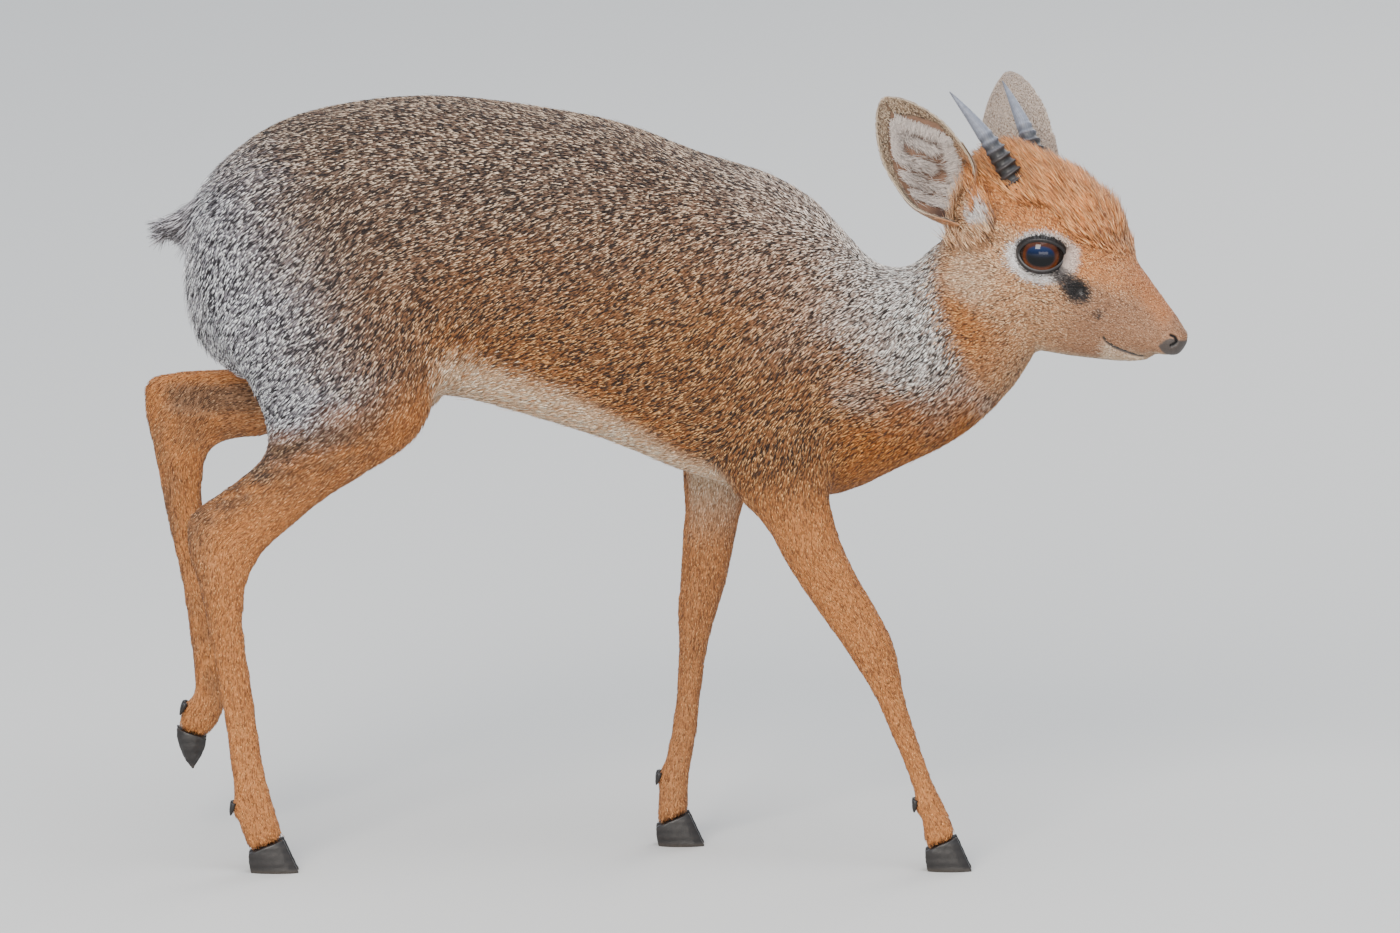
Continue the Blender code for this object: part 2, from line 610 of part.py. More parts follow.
def leg_cut(leg, rib):
    """Front edge, back edge and middle of a leg at a rib number, which may be a fraction."""
    low = int(rib)
    first, second = (np.array(LEG_RIBS[leg][i]) for i in (low, low + 1))
    ax, az, bx, bz, y, _ = first + (second - first) * (rib - low)
    front, back = Vector((ax, y, az)), Vector((bx, y, bz))
    return front, back, (front + back) / 2


def slab(name, front, back, depth, collection, margin=0.012):
    """A sheet as thick as the gap, through two points and level from side to side."""
    way = front - back
    obj = block(name, (way.length + 2 * margin, depth, GAP), collection)
    lean = math.atan2(way.z, way.x)
    obj.matrix_world = (Matrix.Translation((front + back) / 2)
                        @ Matrix.Rotation(-lean, 4, "Y"))
    return obj


def leg_shell(leg, collection):
    """A thin-walled box, round above, that parts a leg from the torso."""
    side = SIDES[leg.split("_")[1]]
    x, z, radius, inner, steps, rear_rise = TOP_CUTS[leg.split("_")[0]]
    outline = []
    for step in range(steps + 1):
        turn = math.pi * step / 16
        outline.append((x + radius * math.cos(turn), z + radius * math.sin(turn)))
    spread = 0.055
    outline.append((x - radius - spread, z + rear_rise))
    outline.append((x - radius - spread, -0.03))
    outline.append((x + radius + spread, -0.03))
    outline.append((x + radius + spread, z - 0.13))
    verts = [(px, side * inner, pz) for px, pz in outline]
    verts += [(px, side * 0.11, pz) for px, pz in outline]
    count = len(outline)
    faces = [tuple(range(count)), tuple(range(2 * count - 1, count - 1, -1))]
    for k in range(count):
        n = (k + 1) % count
        faces.append((k, n, count + n, count + k))
    obj = add_mesh("cut_" + leg, verts, faces, collection)
    face_out(obj)
    wall = obj.modifiers.new("wall", "SOLIDIFY")
    wall.thickness = GAP
    wall.offset = -1
    bake(obj)
    return obj


def make_dewclaws(leg, parts):
    """Two small nubs behind the pastern."""
    _, back, middle = leg_cut(leg, LEG_CUTS[leg][2][1] + 1.0)
    claws = []
    for offset in (-TOE_SPACING, TOE_SPACING):
        claw = ball("dewclaw", DEWCLAW_RADIUS, (0, 0, 0), parts, segments=10, rings=6)
        claw.data.transform(Matrix.Translation((back.x - 0.0008, middle.y + offset, back.z))
                            @ Matrix.Diagonal((0.8, 0.8, 1.5, 1)))
        claws.append(claw)
    return claws


def make_body(parts, cutters):
    """Neck, torso and legs as one skin, then parted with thin cuts."""
    lofts = [loft("trunk", TRUNK_RIBS, parts, around=36, fullness=2.25)]
    for leg, ribs in LEG_RIBS.items():
        lofts.append(loft(leg, ribs, parts, around=20))
        lofts += make_dewclaws(leg, parts)
    for leg, (x, z) in HEELS.items():
        lofts.append(ball("heel_" + leg, HEEL_RADIUS, (x, leg_cut(leg, 9)[2].y, z), parts))
    body = fuse(lofts, "body", BODY_VOXEL, 4)
    points, _ = read_points(body)
    x, z = points[:, 0], points[:, 2]
    lifted_hock = (1 - ramp(x, -0.225, -0.205)) * (1 - ramp(z, 0.268, 0.280))
    soften(body, ramp(z, 0.195, 0.235) * (1 - lifted_hock), 20)
    coarsen(body, BODY_TRIANGLES)
    place = head_matrix()
    normal = (place.to_3x3() @ HEAD_CUT_NORMAL).normalized()
    head_side = block("neck_end", (0.3, 0.3, 0.2), cutters)
    middle = place @ HEAD_CUT_POINT + normal * (0.1 - GAP / 2)
    head_side.matrix_world = (Matrix.Translation(middle)
                              @ normal.to_track_quat("Z", "Y").to_matrix().to_4x4())
    boolean(body, "DIFFERENCE", head_side)
    sheets = new_collection("sheets")
    slab("cut_neck", *NECK_CUT, 0.14, sheets)
    for leg, cuts in LEG_CUTS.items():
        leg_shell(leg, sheets)
        for name, rib in cuts:
            front, back, _ = leg_cut(leg, rib)
            slab("cut_" + leg, front, back, 0.055, sheets)
    boolean(body, "DIFFERENCE", group=sheets)
    for sheet in list(sheets.objects):
        remove(sheet)
    bpy.data.collections.remove(sheets)
    return loose_pieces(body, parts)


def name_pieces(pieces):
    """Name the body's pieces by the nearest of the middles that the cuts give."""
    middles = {"torso": (-0.08, 0.0, 0.33), "neck": (0.15, -0.01, 0.29)}
    for leg, cuts in LEG_CUTS.items():
        kind, side_name = leg.split("_")
        spans = [(TOP_NAMES[kind], 1.0)] + cuts + [("end", len(LEG_RIBS[leg]) - 1.001)]
        for (name, start), (_, end) in zip(spans[:-1], spans[1:]):
            label = name if name in TWO_BY_TWO else name + "_" + kind
            middles[label + "_" + side_name] = leg_cut(leg, (start + end) / 2)[2]
    named = {}
    for piece in sorted(pieces, key=lambda p: -len(p.data.vertices)):
        points, _ = read_points(piece)
        centre = (points.min(axis=0) + points.max(axis=0)) / 2
        ranked = sorted(middles, key=lambda m: np.linalg.norm(centre - middles[m]))
        label = ranked[0]
        if label in named or label.startswith("hoof"):
            remove(piece)
            continue
        piece.name = label
        named[label] = piece
    return named


def hoof_ribs(leg):
    """Front and back edges and half width of a hoof from the coronet down."""
    front, back, _ = leg_cut(leg, LEG_CUTS[leg][-1][1])
    top, heel = front.z - 1.5 * GAP, back.z - 1.5 * GAP
    if leg == "hind_left":
        return [(front.x + a, top - c, back.x + b, heel - d, half)
                for a, b, c, d, half in LIFTED_HOOF]
    return [(front.x + a, top * share, back.x + b, heel * share, half)
            for a, b, share, half in HOOF_SHAPE]


def make_hooves(parts):
    for leg in LEG_RIBS:
        kind, side_name = leg.split("_")
        middle = LEG_RIBS[leg][-1][4]
        side = SIDES[side_name]
        for place, sign in (("outer", side), ("inner", -side)):
            y = middle + sign * TOE_SPACING
            ribs = [(a, b, c, d, y, half) for a, b, c, d, half in hoof_ribs(leg)]
            name = "hoof_" + kind + "_" + side_name + "_" + place
            loft(name, ribs, parts, around=10, steps=1, fullness=2.0)


def make_tail(parts, torso):
    """The dock with overlapping locks round it that run to the tip."""
    tail = trim(loft("tail", TAIL_RIBS, parts, around=16, steps=3), [torso], parts)
    draw = random.Random(11)
    tree = surface(tail)
    group = new_collection("tail_locks")
    way = TAIL_WAY.normalized()
    for row, (place, count) in enumerate(TAIL_ROWS):
        for k in range(count):
            turn = 2 * math.pi * (k + 0.5 * (1 - row)) / count
            aim = Vector((0, 1, 0)) * math.cos(turn) + way.cross(Vector((0, 1, 0))) * math.sin(turn)
            root, normal = tree.ray_cast(Vector(place), aim)[:2]
            add_lock(root, normal, way, TAIL_LOCK, 0.20, draw, group)
    return join_locks(tail, group)


def surface(obj):
    """An object's faces in a form that lines can be cast on."""
    mesh = obj.data
    return BVHTree.FromPolygons([v.co for v in mesh.vertices],
                                [tuple(p.vertices) for p in mesh.polygons])


def add_lock(root, normal, lie, size, lift, draw, group, keep_clear=()):
    """A flat, tapered lock that leaves the surface at a slant and bends along its lie."""
    length, width, thick = size
    length *= draw.uniform(0.88, 1.12)
    width *= draw.uniform(0.88, 1.10)
    along = (lie - lie.dot(normal) * normal).normalized()
    side = along.cross(normal)
    along = (along + side * draw.uniform(-0.16, 0.16)).normalized()
    side = along.cross(normal)
    verts = []
    for t, wide, deep in LOCK_SHAPE + [(1.0, 0.0, 0.0)]:
        rise = lift * (1.8 * t - t * abs(t))
        middle = root + along * (length * t) + normal * (length * rise)
        slope = lift * (1.8 - 2.0 * abs(t))
        up = (normal - along * slope).normalized()
        if wide:
            half, flat = width * wide / 2, thick * deep / 2
            verts += [middle + side * half, middle + up * flat,
                      middle - side * half, middle - up * flat]
        else:
            verts.append(middle)
    for start, way, reach in keep_clear:
        for vert in verts:
            if (vert - start - way * (vert - start).dot(way)).length < reach:
                return
    last = len(verts) - 1
    faces = [(3, 2, 1, 0)]
    for a in range(0, last - 4, 4):
        for k in range(4):
            n = (k + 1) % 4
            faces.append((a + k, a + n, a + 4 + n, a + 4 + k))
    for k in range(4):
        faces.append((last - 4 + k, last - 4 + (k + 1) % 4, last))
    lock = add_mesh("lock", verts, faces, group)
    face_out(lock)


def join_locks(obj, group):
    """Fuse a group of locks with the piece that they grow from."""
    boolean(obj, "UNION", group=group)
    for lock in list(group.objects):
        remove(lock)
    bpy.data.collections.remove(group)
    name = obj.name
    best = keep_largest(obj)
    best.name = name
    return best


def grow_crest(head):
    """Locks over the crown and forehead, lying up and back, clear of horns and ears."""
    place = head_matrix()
    turn = place.to_3x3()
    clear = []
    for side_name, side in SIDES.items():
        root, way, _ = horn_line(side)
        clear.append((place @ root, turn @ way, HORN_RADIUS + 0.0012))
        ear_root, ear_way, _ = (Vector(v) for v in EARS[side_name])
        clear.append((place @ ear_root, turn @ ear_way.normalized(), 0.0150))
    draw = random.Random(7)
    tree = surface(head)
    group = new_collection("crest_locks")
    back = turn @ Vector((-1, 0, 0))
    for x, count in CREST_ROWS:
        for k in range(count):
            angle = CREST_SPREAD * (2 * (k + 0.5) / count - 1)
            aim = turn @ Vector((0.15, math.sin(angle), math.cos(angle)))
            root, normal = tree.ray_cast(place @ Vector((x, 0, 0.012)), aim)[:2]
            add_lock(root, normal, back, CREST_LOCK, 0.28, draw, group, clear)
    return join_locks(head, group)


def trim(piece, against, parts):
    """Cut a piece clear of its neighbours, leaving the gap between them."""
    for other in against:
        copy = bpy.data.objects.new("clear", other.data.copy())
        parts.objects.link(copy)
        copy.matrix_world = other.matrix_world
        grow = copy.modifiers.new("grow", "DISPLACE")
        grow.strength = GAP * 1.6
        grow.mid_level = 0
        bake(copy)
        boolean(piece, "DIFFERENCE", copy)
        remove(copy)
    name = piece.name
    best = keep_largest(piece)
    best.name = name
    return best


def make_ear(parts, side_name):
    """A leaf-shaped cup: a tube at its root that opens towards its front."""
    root, axis, facing = (Vector(v) for v in EARS[side_name])
    axis.normalize()
    facing = (facing - facing.dot(axis) * axis).normalized()
    across = axis.cross(facing)
    rows = spline(EAR_ROWS, 2)
    verts = []
    columns = 8
    for along, share, curl in rows:
        radius = share * EAR_WIDTH / 2 / math.sin(min(curl, math.pi / 2))
        bow = EAR_BOW * math.sin(math.pi * along)
        for k in range(columns):
            angle = curl * (2 * k / (columns - 1) - 1)
            verts.append(root + axis * (EAR_LENGTH * along) - facing * bow
                         + across * (radius * math.sin(angle))
                         - facing * (radius * (math.cos(angle) - math.cos(curl))))
    faces = []
    for i in range(len(rows) - 1):
        for k in range(columns - 1):
            a = i * columns + k
            faces.append((a, a + 1, a + columns + 1, a + columns))
    ear = add_mesh("ear_" + side_name, verts, faces, parts)
    shell = ear.modifiers.new("shell", "SOLIDIFY")
    shell.thickness = EAR_THICKNESS
    shell.offset = 0
    bake(ear)
    face_out(ear)
    ear.data.transform(head_matrix())
    return ear


def horn_line(side):
    """Where a horn's middle line starts, the way it runs and the way it bows."""
    root = Vector((-0.0325, side * 0.0142, 0.0220))
    way = Vector((-0.0500, side * 0.0138, 0.0290)).normalized()
    bend = Vector((0.28, 0.0, 0.96))
    return root, way, (bend - bend.dot(way) * way).normalized()


def make_horn(parts, side_name):
    """A slender cone, ringed over its lower half and bowed a little forward."""
    root, way, bend = horn_line(SIDES[side_name])
    rows = []
    count = 24
    for i in range(count + 1):
        t = i / count
        radius = HORN_RADIUS * (1 - t ** 1.5) ** 0.9 + 0.0004
        if t < HORN_RING_ZONE:
            ring = math.cos(2 * math.pi * HORN_RINGS * t / HORN_RING_ZONE)
            radius = radius + HORN_RING_HEIGHT * ring
        rows.append((t, radius))
    verts = []
    around = 10
    across = way.cross(bend)
    for t, radius in rows:
        centre = (root + way * ((HORN_LENGTH + HORN_SUNK) * t - HORN_SUNK)
                  + bend * (HORN_BOW * (t - t * t)))
        for k in range(around):
            turn = 2 * math.pi * k / around
            verts.append(centre + across * (radius * math.cos(turn))
                         + bend * (radius * math.sin(turn)))
    faces = []
    for i in range(count):
        for k in range(around):
            n = (k + 1) % around
            faces.append((i * around + k, i * around + n, (i + 1) * around + n,
                          (i + 1) * around + k))
    faces.append(tuple(range(around))[::-1])
    faces.append(tuple(range(count * around, (count + 1) * around)))
    horn = add_mesh("horn_" + side_name, verts, faces, parts)
    face_out(horn)
    horn.data.transform(head_matrix())
    return horn


def make_eye(parts, side_name):
    centre = eye_frame(SIDES[side_name])[0]
    eye = ball("eye_" + side_name, EYE_RADIUS, centre, parts)
    eye.data.transform(head_matrix())
    return eye


def give_material(obj):
    name = obj.name
    if name.startswith("eye"):
        slot = "eye"
    elif name.startswith("horn"):
        slot = "horn"
    elif name.startswith("hoof"):
        slot = "hoof"
    elif name.startswith(("head", "ear")):
        slot = "rufous_coat"
    elif name.startswith(("torso", "tail", "neck")):
        slot = "grey_coat"
    elif name.startswith(("thigh", "shoulder")):
        slot = "coat"
    else:
        slot = "tan_coat"
    obj.data.materials.clear()
    obj.data.materials.append(material(slot))


def centre_on_origin(objects):
    """Bring the middle of the whole model's box over the origin."""
    low = np.full(3, 1e9)
    high = -low
    for obj in objects:
        points, _ = read_points(obj)
        low = np.minimum(low, points.min(axis=0))
        high = np.maximum(high, points.max(axis=0))
    shift = Vector((-(low[0] + high[0]) / 2, -(low[1] + high[1]) / 2, 0))
    for obj in objects:
        obj.data.transform(Matrix.Translation(shift))
    print("moved by", tuple(round(v, 5) for v in shift))


def main():
    clear_scene()
    parts = new_collection("dik_dik")
    cutters = new_collection("cutters")
    head = make_head(parts, cutters)
    body = name_pieces(make_body(parts, cutters))
    for cutter in cutters.objects:
        cutter.hide_render = True
        cutter.display_type = "WIRE"
    make_tail(parts, body["torso"])
    horns = [make_horn(parts, side_name) for side_name in SIDES]
    ears = [make_ear(parts, side_name) for side_name in SIDES]
    for horn in horns:
        trim(horn, [head], parts)
    for ear in ears:
        trim(ear, [head], parts)
    grow_crest(head)
    for side_name in SIDES:
        make_eye(parts, side_name)
    make_hooves(parts)
    for obj in list(parts.objects):
        give_material(obj)
        obj.data.shade_smooth()
        obj.data.set_sharp_from_angle(angle=math.radians(50))
    centre_on_origin(list(parts.objects))


main()
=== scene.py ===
import math
from collections import namedtuple

import bmesh
import bpy
import numpy as np
from mathutils import Matrix, Vector
from mathutils.bvhtree import BVHTree
from mathutils.kdtree import KDTree


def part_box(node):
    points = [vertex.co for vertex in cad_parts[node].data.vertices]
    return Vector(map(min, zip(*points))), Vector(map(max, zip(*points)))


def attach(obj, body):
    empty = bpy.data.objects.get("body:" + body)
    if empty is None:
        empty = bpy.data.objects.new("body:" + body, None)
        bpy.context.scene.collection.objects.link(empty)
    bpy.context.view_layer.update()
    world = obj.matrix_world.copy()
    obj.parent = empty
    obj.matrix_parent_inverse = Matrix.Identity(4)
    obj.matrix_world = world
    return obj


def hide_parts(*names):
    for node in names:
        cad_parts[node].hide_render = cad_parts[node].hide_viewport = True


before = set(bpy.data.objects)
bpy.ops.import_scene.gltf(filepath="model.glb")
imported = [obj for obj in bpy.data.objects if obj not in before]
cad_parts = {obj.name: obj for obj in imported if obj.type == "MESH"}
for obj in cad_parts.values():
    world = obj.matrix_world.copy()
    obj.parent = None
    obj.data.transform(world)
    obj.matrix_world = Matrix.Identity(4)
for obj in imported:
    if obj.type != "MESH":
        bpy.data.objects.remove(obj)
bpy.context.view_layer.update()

# The photograph's view, metres and degrees
CAMERA_DISTANCE = 12.0
CAMERA_ELEVATION = math.radians(11)
FRAME_WIDTH = 0.756                       # what the picture's width takes in at the animal
FRAME_MIDDLE = Vector((0.0195, 0.0058, 0.2154))
SENSOR_WIDTH = 36.0

# The head's own frame, as in the part: x along the muzzle, y to its left, z up
HEAD_YAW = math.radians(-32)
HEAD_PITCH = math.radians(25)
HEAD_ROLL = math.radians(3)
EYE_FORWARD = -0.0005                     # the eyes' middle in that frame
EYE_RADIUS = 0.0145
EYE_AXIS_ANGLE = math.radians(65)
EYE_SLANT = math.radians(20)
LID_HALF_LENGTH = 0.0137
LID_HALF_HEIGHT = 0.0088
SIDES = {"right": -1, "left": 1}
LEGS = [(kind, side) for kind in ("hind", "fore") for side in SIDES]

EAR_LENGTH = 0.081
EAR_WIDTH = 0.040
EARS = {
    "right": ((-0.0449, -0.0245, -0.0062), (-0.0605, -0.0330, 0.0452), (0.615, -0.759, 0.213)),
    "left": ((-0.0378, 0.0365, -0.0024), (-0.0585, 0.0260, 0.0440), (0.240, 0.880, -0.380)),
}
# how far along the ear, half the width as a share of the widest, and the angle of the curl
EAR_ROWS = [(0.00, 0.42, 2.60), (0.12, 0.74, 2.25), (0.27, 0.99, 1.78), (0.45, 1.04, 1.40),
            (0.63, 0.97, 1.20), (0.80, 0.73, 1.00), (0.93, 0.42, 0.80), (1.00, 0.14, 0.60)]
HORN_LENGTH = 0.061
HORN_RADIUS = 0.0062
HORN_RINGS = 8
HORN_ROOT = 0.006                         # how deep it stands in the head

SKIN_VOXEL = 0.0026
SKIN_SWELL = 0.00045                      # closes the cuts between the nodes before they are fused
LID_REACH = 0.006                         # how far off the eyeball the skin is still moved by it
LID_SUNK = 0.0025                         # skin under the eyeball
LID_PROUD = 0.0010                        # skin round the eyeball
FLESH = (["head", "neck", "torso", "tail"]
         + [part + "_" + side for part in ("thigh", "shank", "shoulder", "forearm") for side in SIDES]
         + [part + "_" + kind + "_" + side for part in ("cannon", "foot") for kind, side in LEGS])
PATCH = 0.003                             # size of a tuft on its flat map

# Length, width and lift of the coat's hairs, and how many stand on a square metre
HAIR_SIZES = {
    "trunk": (0.0052, 0.00064, 0.16, 0.92e6),
    "neck": (0.0050, 0.00058, 0.18, 1.25e6),
    "belly": (0.0064, 0.00080, 0.16, 0.70e6),
    "rear": (0.0050, 0.00074, 0.30, 1.00e6),
    "leg": (0.0044, 0.00050, 0.08, 0.72e6),
    "foot": (0.0034, 0.00044, 0.07, 0.76e6),
    "head": (0.0033, 0.00050, 0.15, 1.8e6),
    "face": (0.0025, 0.00044, 0.13, 2.4e6),
    "muzzle": (0.0018, 0.00036, 0.11, 2.8e6),
    "eye": (0.0021, 0.00038, 0.15, 3.6e6),
}
# Hairs to the square metre on the crown, round the ears' roots and on the tail
CREST_DENSITY = 2.5e6
EAR_BASE_DENSITY = 1.5e6
TAIL_DENSITY = 2.8e6
# Hairs on each ear's back, inside its rim and on the ridge in front of it, and lashes to each eye
EAR_BACK_HAIRS = 5800
EAR_RIM_HAIRS = 14000
EAR_RIDGE_HAIRS = 1500
LASHES = 150
UPPER_LASHES = 110
PIECE_LIMIT = 190000                      # triangles to a piece of the coat

FLOOR_HALF = 15.0
FLOOR_COLOUR = (0.52, 0.51, 0.49, 1.0)
SKY_COLOUR = (0.80, 0.87, 0.97, 1.0)
LIGHTS_AIM = Vector((0.0, 0.0, 0.24))
# Each light's name, place, width, height, power in watts and colour
LIGHTS = [
    ("key", (-1.2, -3.0, 2.2), 1.5, 1.5, 150.0, (1.0, 0.95, 0.88)),
    ("sky", (0.5, -0.9, 3.0), 2.6, 2.6, 62.0, (0.94, 0.97, 1.0)),
    ("back", (1.4, 2.4, 1.6), 1.4, 1.4, 34.0, (1.0, 0.97, 0.93)),
    ("low", (0.3, -2.4, 0.35), 1.8, 0.5, 16.0, (1.0, 0.93, 0.84)),
]

draw = np.random.default_rng(4)


def srgb(red, green, blue):
    """A colour given as on screen, 0 to 255, in the linear form that shaders use."""
    value = np.array([red, green, blue]) / 255
    return np.where(value <= 0.04045, value / 12.92, ((value + 0.055) / 1.055) ** 2.4)


def ramp(value, start, end):
    """0 at start, 1 at end, smooth between."""
    t = np.clip((value - start) / (end - start), 0, 1)
    return t * t * (3 - 2 * t)


def fall(value, start, end):
    """1 at start, 0 at end, smooth between."""
    return 1 - ramp(value, start, end)


def mix(first, second, share):
    """From first towards second by each row's share."""
    return first + (second - first) * share[:, None]


def unit(vectors):
    return vectors / np.maximum(np.linalg.norm(vectors, axis=-1, keepdims=True), 1e-12)


def gap_to(points, spot, scale=(1.0, 1.0, 1.0)):
    """How far points lie from a spot, with each direction scaled."""
    return np.linalg.norm((points - np.asarray(spot)) * np.asarray(scale), axis=1)


def line_gap(points, course):
    """How far points lie from a line through the places of its course."""
    gap = np.full(len(points), 1.0)
    for a, b in zip(course[:-1], course[1:]):
        run = b - a
        away = points - a
        t = np.clip(away @ run / (run @ run), 0, 1)
        gap = np.minimum(gap, np.linalg.norm(away - t[:, None] * run, axis=1))
    return gap


def spline(rows, steps):
    """Rows read from a smooth curve through the given rows, `steps` to each stretch."""
    rows = np.array(rows, float)
    ends = np.vstack([2 * rows[0] - rows[1], rows, 2 * rows[-1] - rows[-2]])
    out = []
    for i in range(len(rows) - 1):
        a, b, c, d = ends[i:i + 4]
        for t in np.linspace(0, 1, steps, endpoint=False):
            out.append(0.5 * (2 * b + (c - a) * t + (2 * a - 5 * b + 4 * c - d) * t ** 2
                              + (3 * b - a - 3 * c + d) * t ** 3))
    out.append(rows[-1])
    return np.array(out)


def ripple(points, size, seed, octaves=7):
    """Smooth noise from -1 to 1 with features of about this size."""
    waves = np.random.default_rng(seed)
    total = np.zeros(len(points))
    for _ in range(octaves):
        way = unit(waves.normal(size=3)) * (2 * math.pi / size) * waves.uniform(0.6, 1.5)
        total += np.sin(points @ way + waves.uniform(0, 2 * math.pi))
    return total / octaves * 1.6


def head_matrix():
    """The head's frame, from its turns and the middle between the eyes."""
    turn = (Matrix.Rotation(HEAD_YAW, 4, "Z") @ Matrix.Rotation(HEAD_PITCH, 4, "Y")
            @ Matrix.Rotation(-HEAD_ROLL, 4, "X"))
    corners = [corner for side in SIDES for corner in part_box("eye_" + side)]
    middle = sum(corners, Vector()) / len(corners)
    return Matrix.Translation(middle - turn @ Vector((EYE_FORWARD, 0, 0))) @ turn


HEAD = head_matrix()
HEAD_TURN = np.array(HEAD.to_3x3())
HEAD_PLACE = np.array(HEAD.translation)
MIDDLE_Y = sum(corner.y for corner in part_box("torso")) / 2


def to_head(points):
    return (points - HEAD_PLACE) @ HEAD_TURN


def from_head(points):
    return np.asarray(points) @ HEAD_TURN.T + HEAD_PLACE


def find_eye(side):
    """Centre of an eyeball and its outward, lengthwise and upward directions, in the room."""
    low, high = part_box("eye_right" if side < 0 else "eye_left")
    out = Vector((math.cos(EYE_AXIS_ANGLE), side * math.sin(EYE_AXIS_ANGLE), 0.05)).normalized()
    long = Vector((math.cos(EYE_SLANT), 0, math.sin(EYE_SLANT)))
    long = (long - long.dot(out) * out).normalized()
    up = out.cross(long) * -side
    axes = [np.array(v) @ HEAD_TURN.T for v in (out, long, up)]
    return [np.array((low + high) / 2)] + axes


EYES = {side: find_eye(side) for side in SIDES.values()}


def almond_distance(points, side):
    """How far points lie outside the lids' opening along the eyeball, and from its centre."""
    centre, out, long, up = EYES[side]
    away = points - centre
    reach = np.linalg.norm(away, axis=1)
    way = away / np.maximum(reach, 1e-9)[:, None]
    angle = np.arccos(np.clip(way @ out, -1, 1))
    x, y = way @ long, way @ up
    flat = np.maximum(np.hypot(x, y), 1e-9)
    x, y = x / flat * angle * EYE_RADIUS, y / flat * angle * EYE_RADIUS
    length = LID_HALF_LENGTH * np.where(x > 0, 1.08, 1.0)
    height = LID_HALF_HEIGHT * np.where(y > 0, 1.0, 0.9)
    scaled = np.hypot(x / length, y / height)
    edge = np.hypot(x, y) / np.maximum(scaled, 1e-9)
    return np.hypot(x, y) - edge, reach, x, y


def add_object(name, data):
    obj = bpy.data.objects.new(name, data)
    bpy.context.scene.collection.objects.link(obj)
    return obj


def new_object(name, verts, faces):
    mesh = bpy.data.meshes.new(name)
    mesh.from_pydata(np.asarray(verts).tolist(), [], faces)
    return add_object(name, mesh)


def fast_object(name, verts, triangles):
    """An object from arrays of points and triangles."""
    mesh = bpy.data.meshes.new(name)
    mesh.vertices.add(len(verts))
    mesh.vertices.foreach_set("co", verts.astype(np.float32).ravel())
    mesh.loops.add(triangles.size)
    mesh.loops.foreach_set("vertex_index", triangles.astype(np.int32).ravel())
    mesh.polygons.add(len(triangles))
    mesh.polygons.foreach_set("loop_start", np.arange(0, triangles.size, 3, dtype=np.int32))
    mesh.update(calc_edges=True)
    return add_object(name, mesh)


def bake(obj):
    """Make the result of an object's modifiers its own mesh."""
    bpy.context.view_layer.update()
    graph = bpy.context.evaluated_depsgraph_get()
    mesh = bpy.data.meshes.new_from_object(obj.evaluated_get(graph))
    obj.modifiers.clear()
    obj.data = mesh


def read(obj, what="co"):
    values = np.empty(len(obj.data.vertices) * 3)
    obj.data.vertices.foreach_get(what, values)
    return values.reshape(-1, 3)


def write(obj, points):
    obj.data.vertices.foreach_set("co", points.ravel())
    obj.data.update()


def paint_points(obj, colours, name="tint"):
    layer = obj.data.color_attributes.new(name, "FLOAT_COLOR", "POINT")
    values = np.ones((len(colours), 4))
    values[:, :3] = colours
    layer.data.foreach_set("color", values.ravel())


def mark_points(obj, name, values):
    layer = obj.data.attributes.new(name, "FLOAT", "POINT")
    layer.data.foreach_set("value", np.asarray(values, float))


def smooth_shading(obj):
    obj.data.polygons.foreach_set("use_smooth", [True] * len(obj.data.polygons))


def face_out(obj):
    """Turn all faces outwards."""
    work = bmesh.new()
    work.from_mesh(obj.data)
    bmesh.ops.recalc_face_normals(work, faces=work.faces)
    if work.calc_volume(signed=True) < 0:
        bmesh.ops.reverse_faces(work, faces=work.faces)
    work.to_mesh(obj.data)
    work.free()


def tube_faces(rings, around, closed=False):
    """Four-sided faces between rings of points; a closed tube joins its last ring to its first."""
    faces = []
    for i in range(rings if closed else rings - 1):
        for k in range(around):
            n, above = (k + 1) % around, (i + 1) % rings
            faces.append((i * around + k, i * around + n, above * around + n, above * around + k))
    return faces


def place(obj, material, slot, *nodes):
    """Finish a piece: its material, its body and what it stands for; the material slot is not used."""
    obj.data.materials.clear()
    obj.data.materials.append(material)
    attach(obj, "root")
    if nodes:
        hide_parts(*nodes)
    return obj


# Skin

def flesh_shell():
    """The flesh nodes swollen until their gaps close, and fused into one skin."""
    points, faces, start = [], [], 0
    for name in FLESH + ["eye_right", "eye_left"]:
        work = bmesh.new()
        work.from_mesh(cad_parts[name].data)
        bmesh.ops.remove_doubles(work, verts=work.verts, dist=1e-6)
        bmesh.ops.triangulate(work, faces=work.faces)
        work.normal_update()
        work.verts.index_update()
        points += [vert.co + vert.normal * SKIN_SWELL for vert in work.verts]
        faces += [[vert.index + start for vert in face.verts] for face in work.faces]
        start += len(work.verts)
        work.free()
    shell = new_object("skin", points, faces)
    grain = shell.modifiers.new("grain", "REMESH")
    grain.mode = "VOXEL"
    grain.voxel_size = SKIN_VOXEL
    split = shell.modifiers.new("split", "TRIANGULATE")
    split.quad_method = "SHORTEST_DIAGONAL"
    bake(shell)
    return shell


def refine(obj, wanted):
    """Split each triangle of the part of a mesh where wanted says so into four."""
    work = bmesh.new()
    work.from_mesh(obj.data)
    work.verts.ensure_lookup_table()
    centres = np.array([face.calc_center_median() for face in work.faces])
    chosen = wanted(centres)
    edges = {edge for face, yes in zip(work.faces, chosen) if yes for edge in face.edges}
    bmesh.ops.subdivide_edges(work, edges=list(edges), cuts=1, use_grid_fill=True)
    bmesh.ops.triangulate(work, faces=[face for face in work.faces if len(face.verts) > 3])
    work.to_mesh(obj.data)
    work.free()


def edges_of(obj):
    ends = np.empty(len(obj.data.edges) * 2, np.int32)
    obj.data.edges.foreach_get("vertices", ends)
    return ends.reshape(-1, 2)


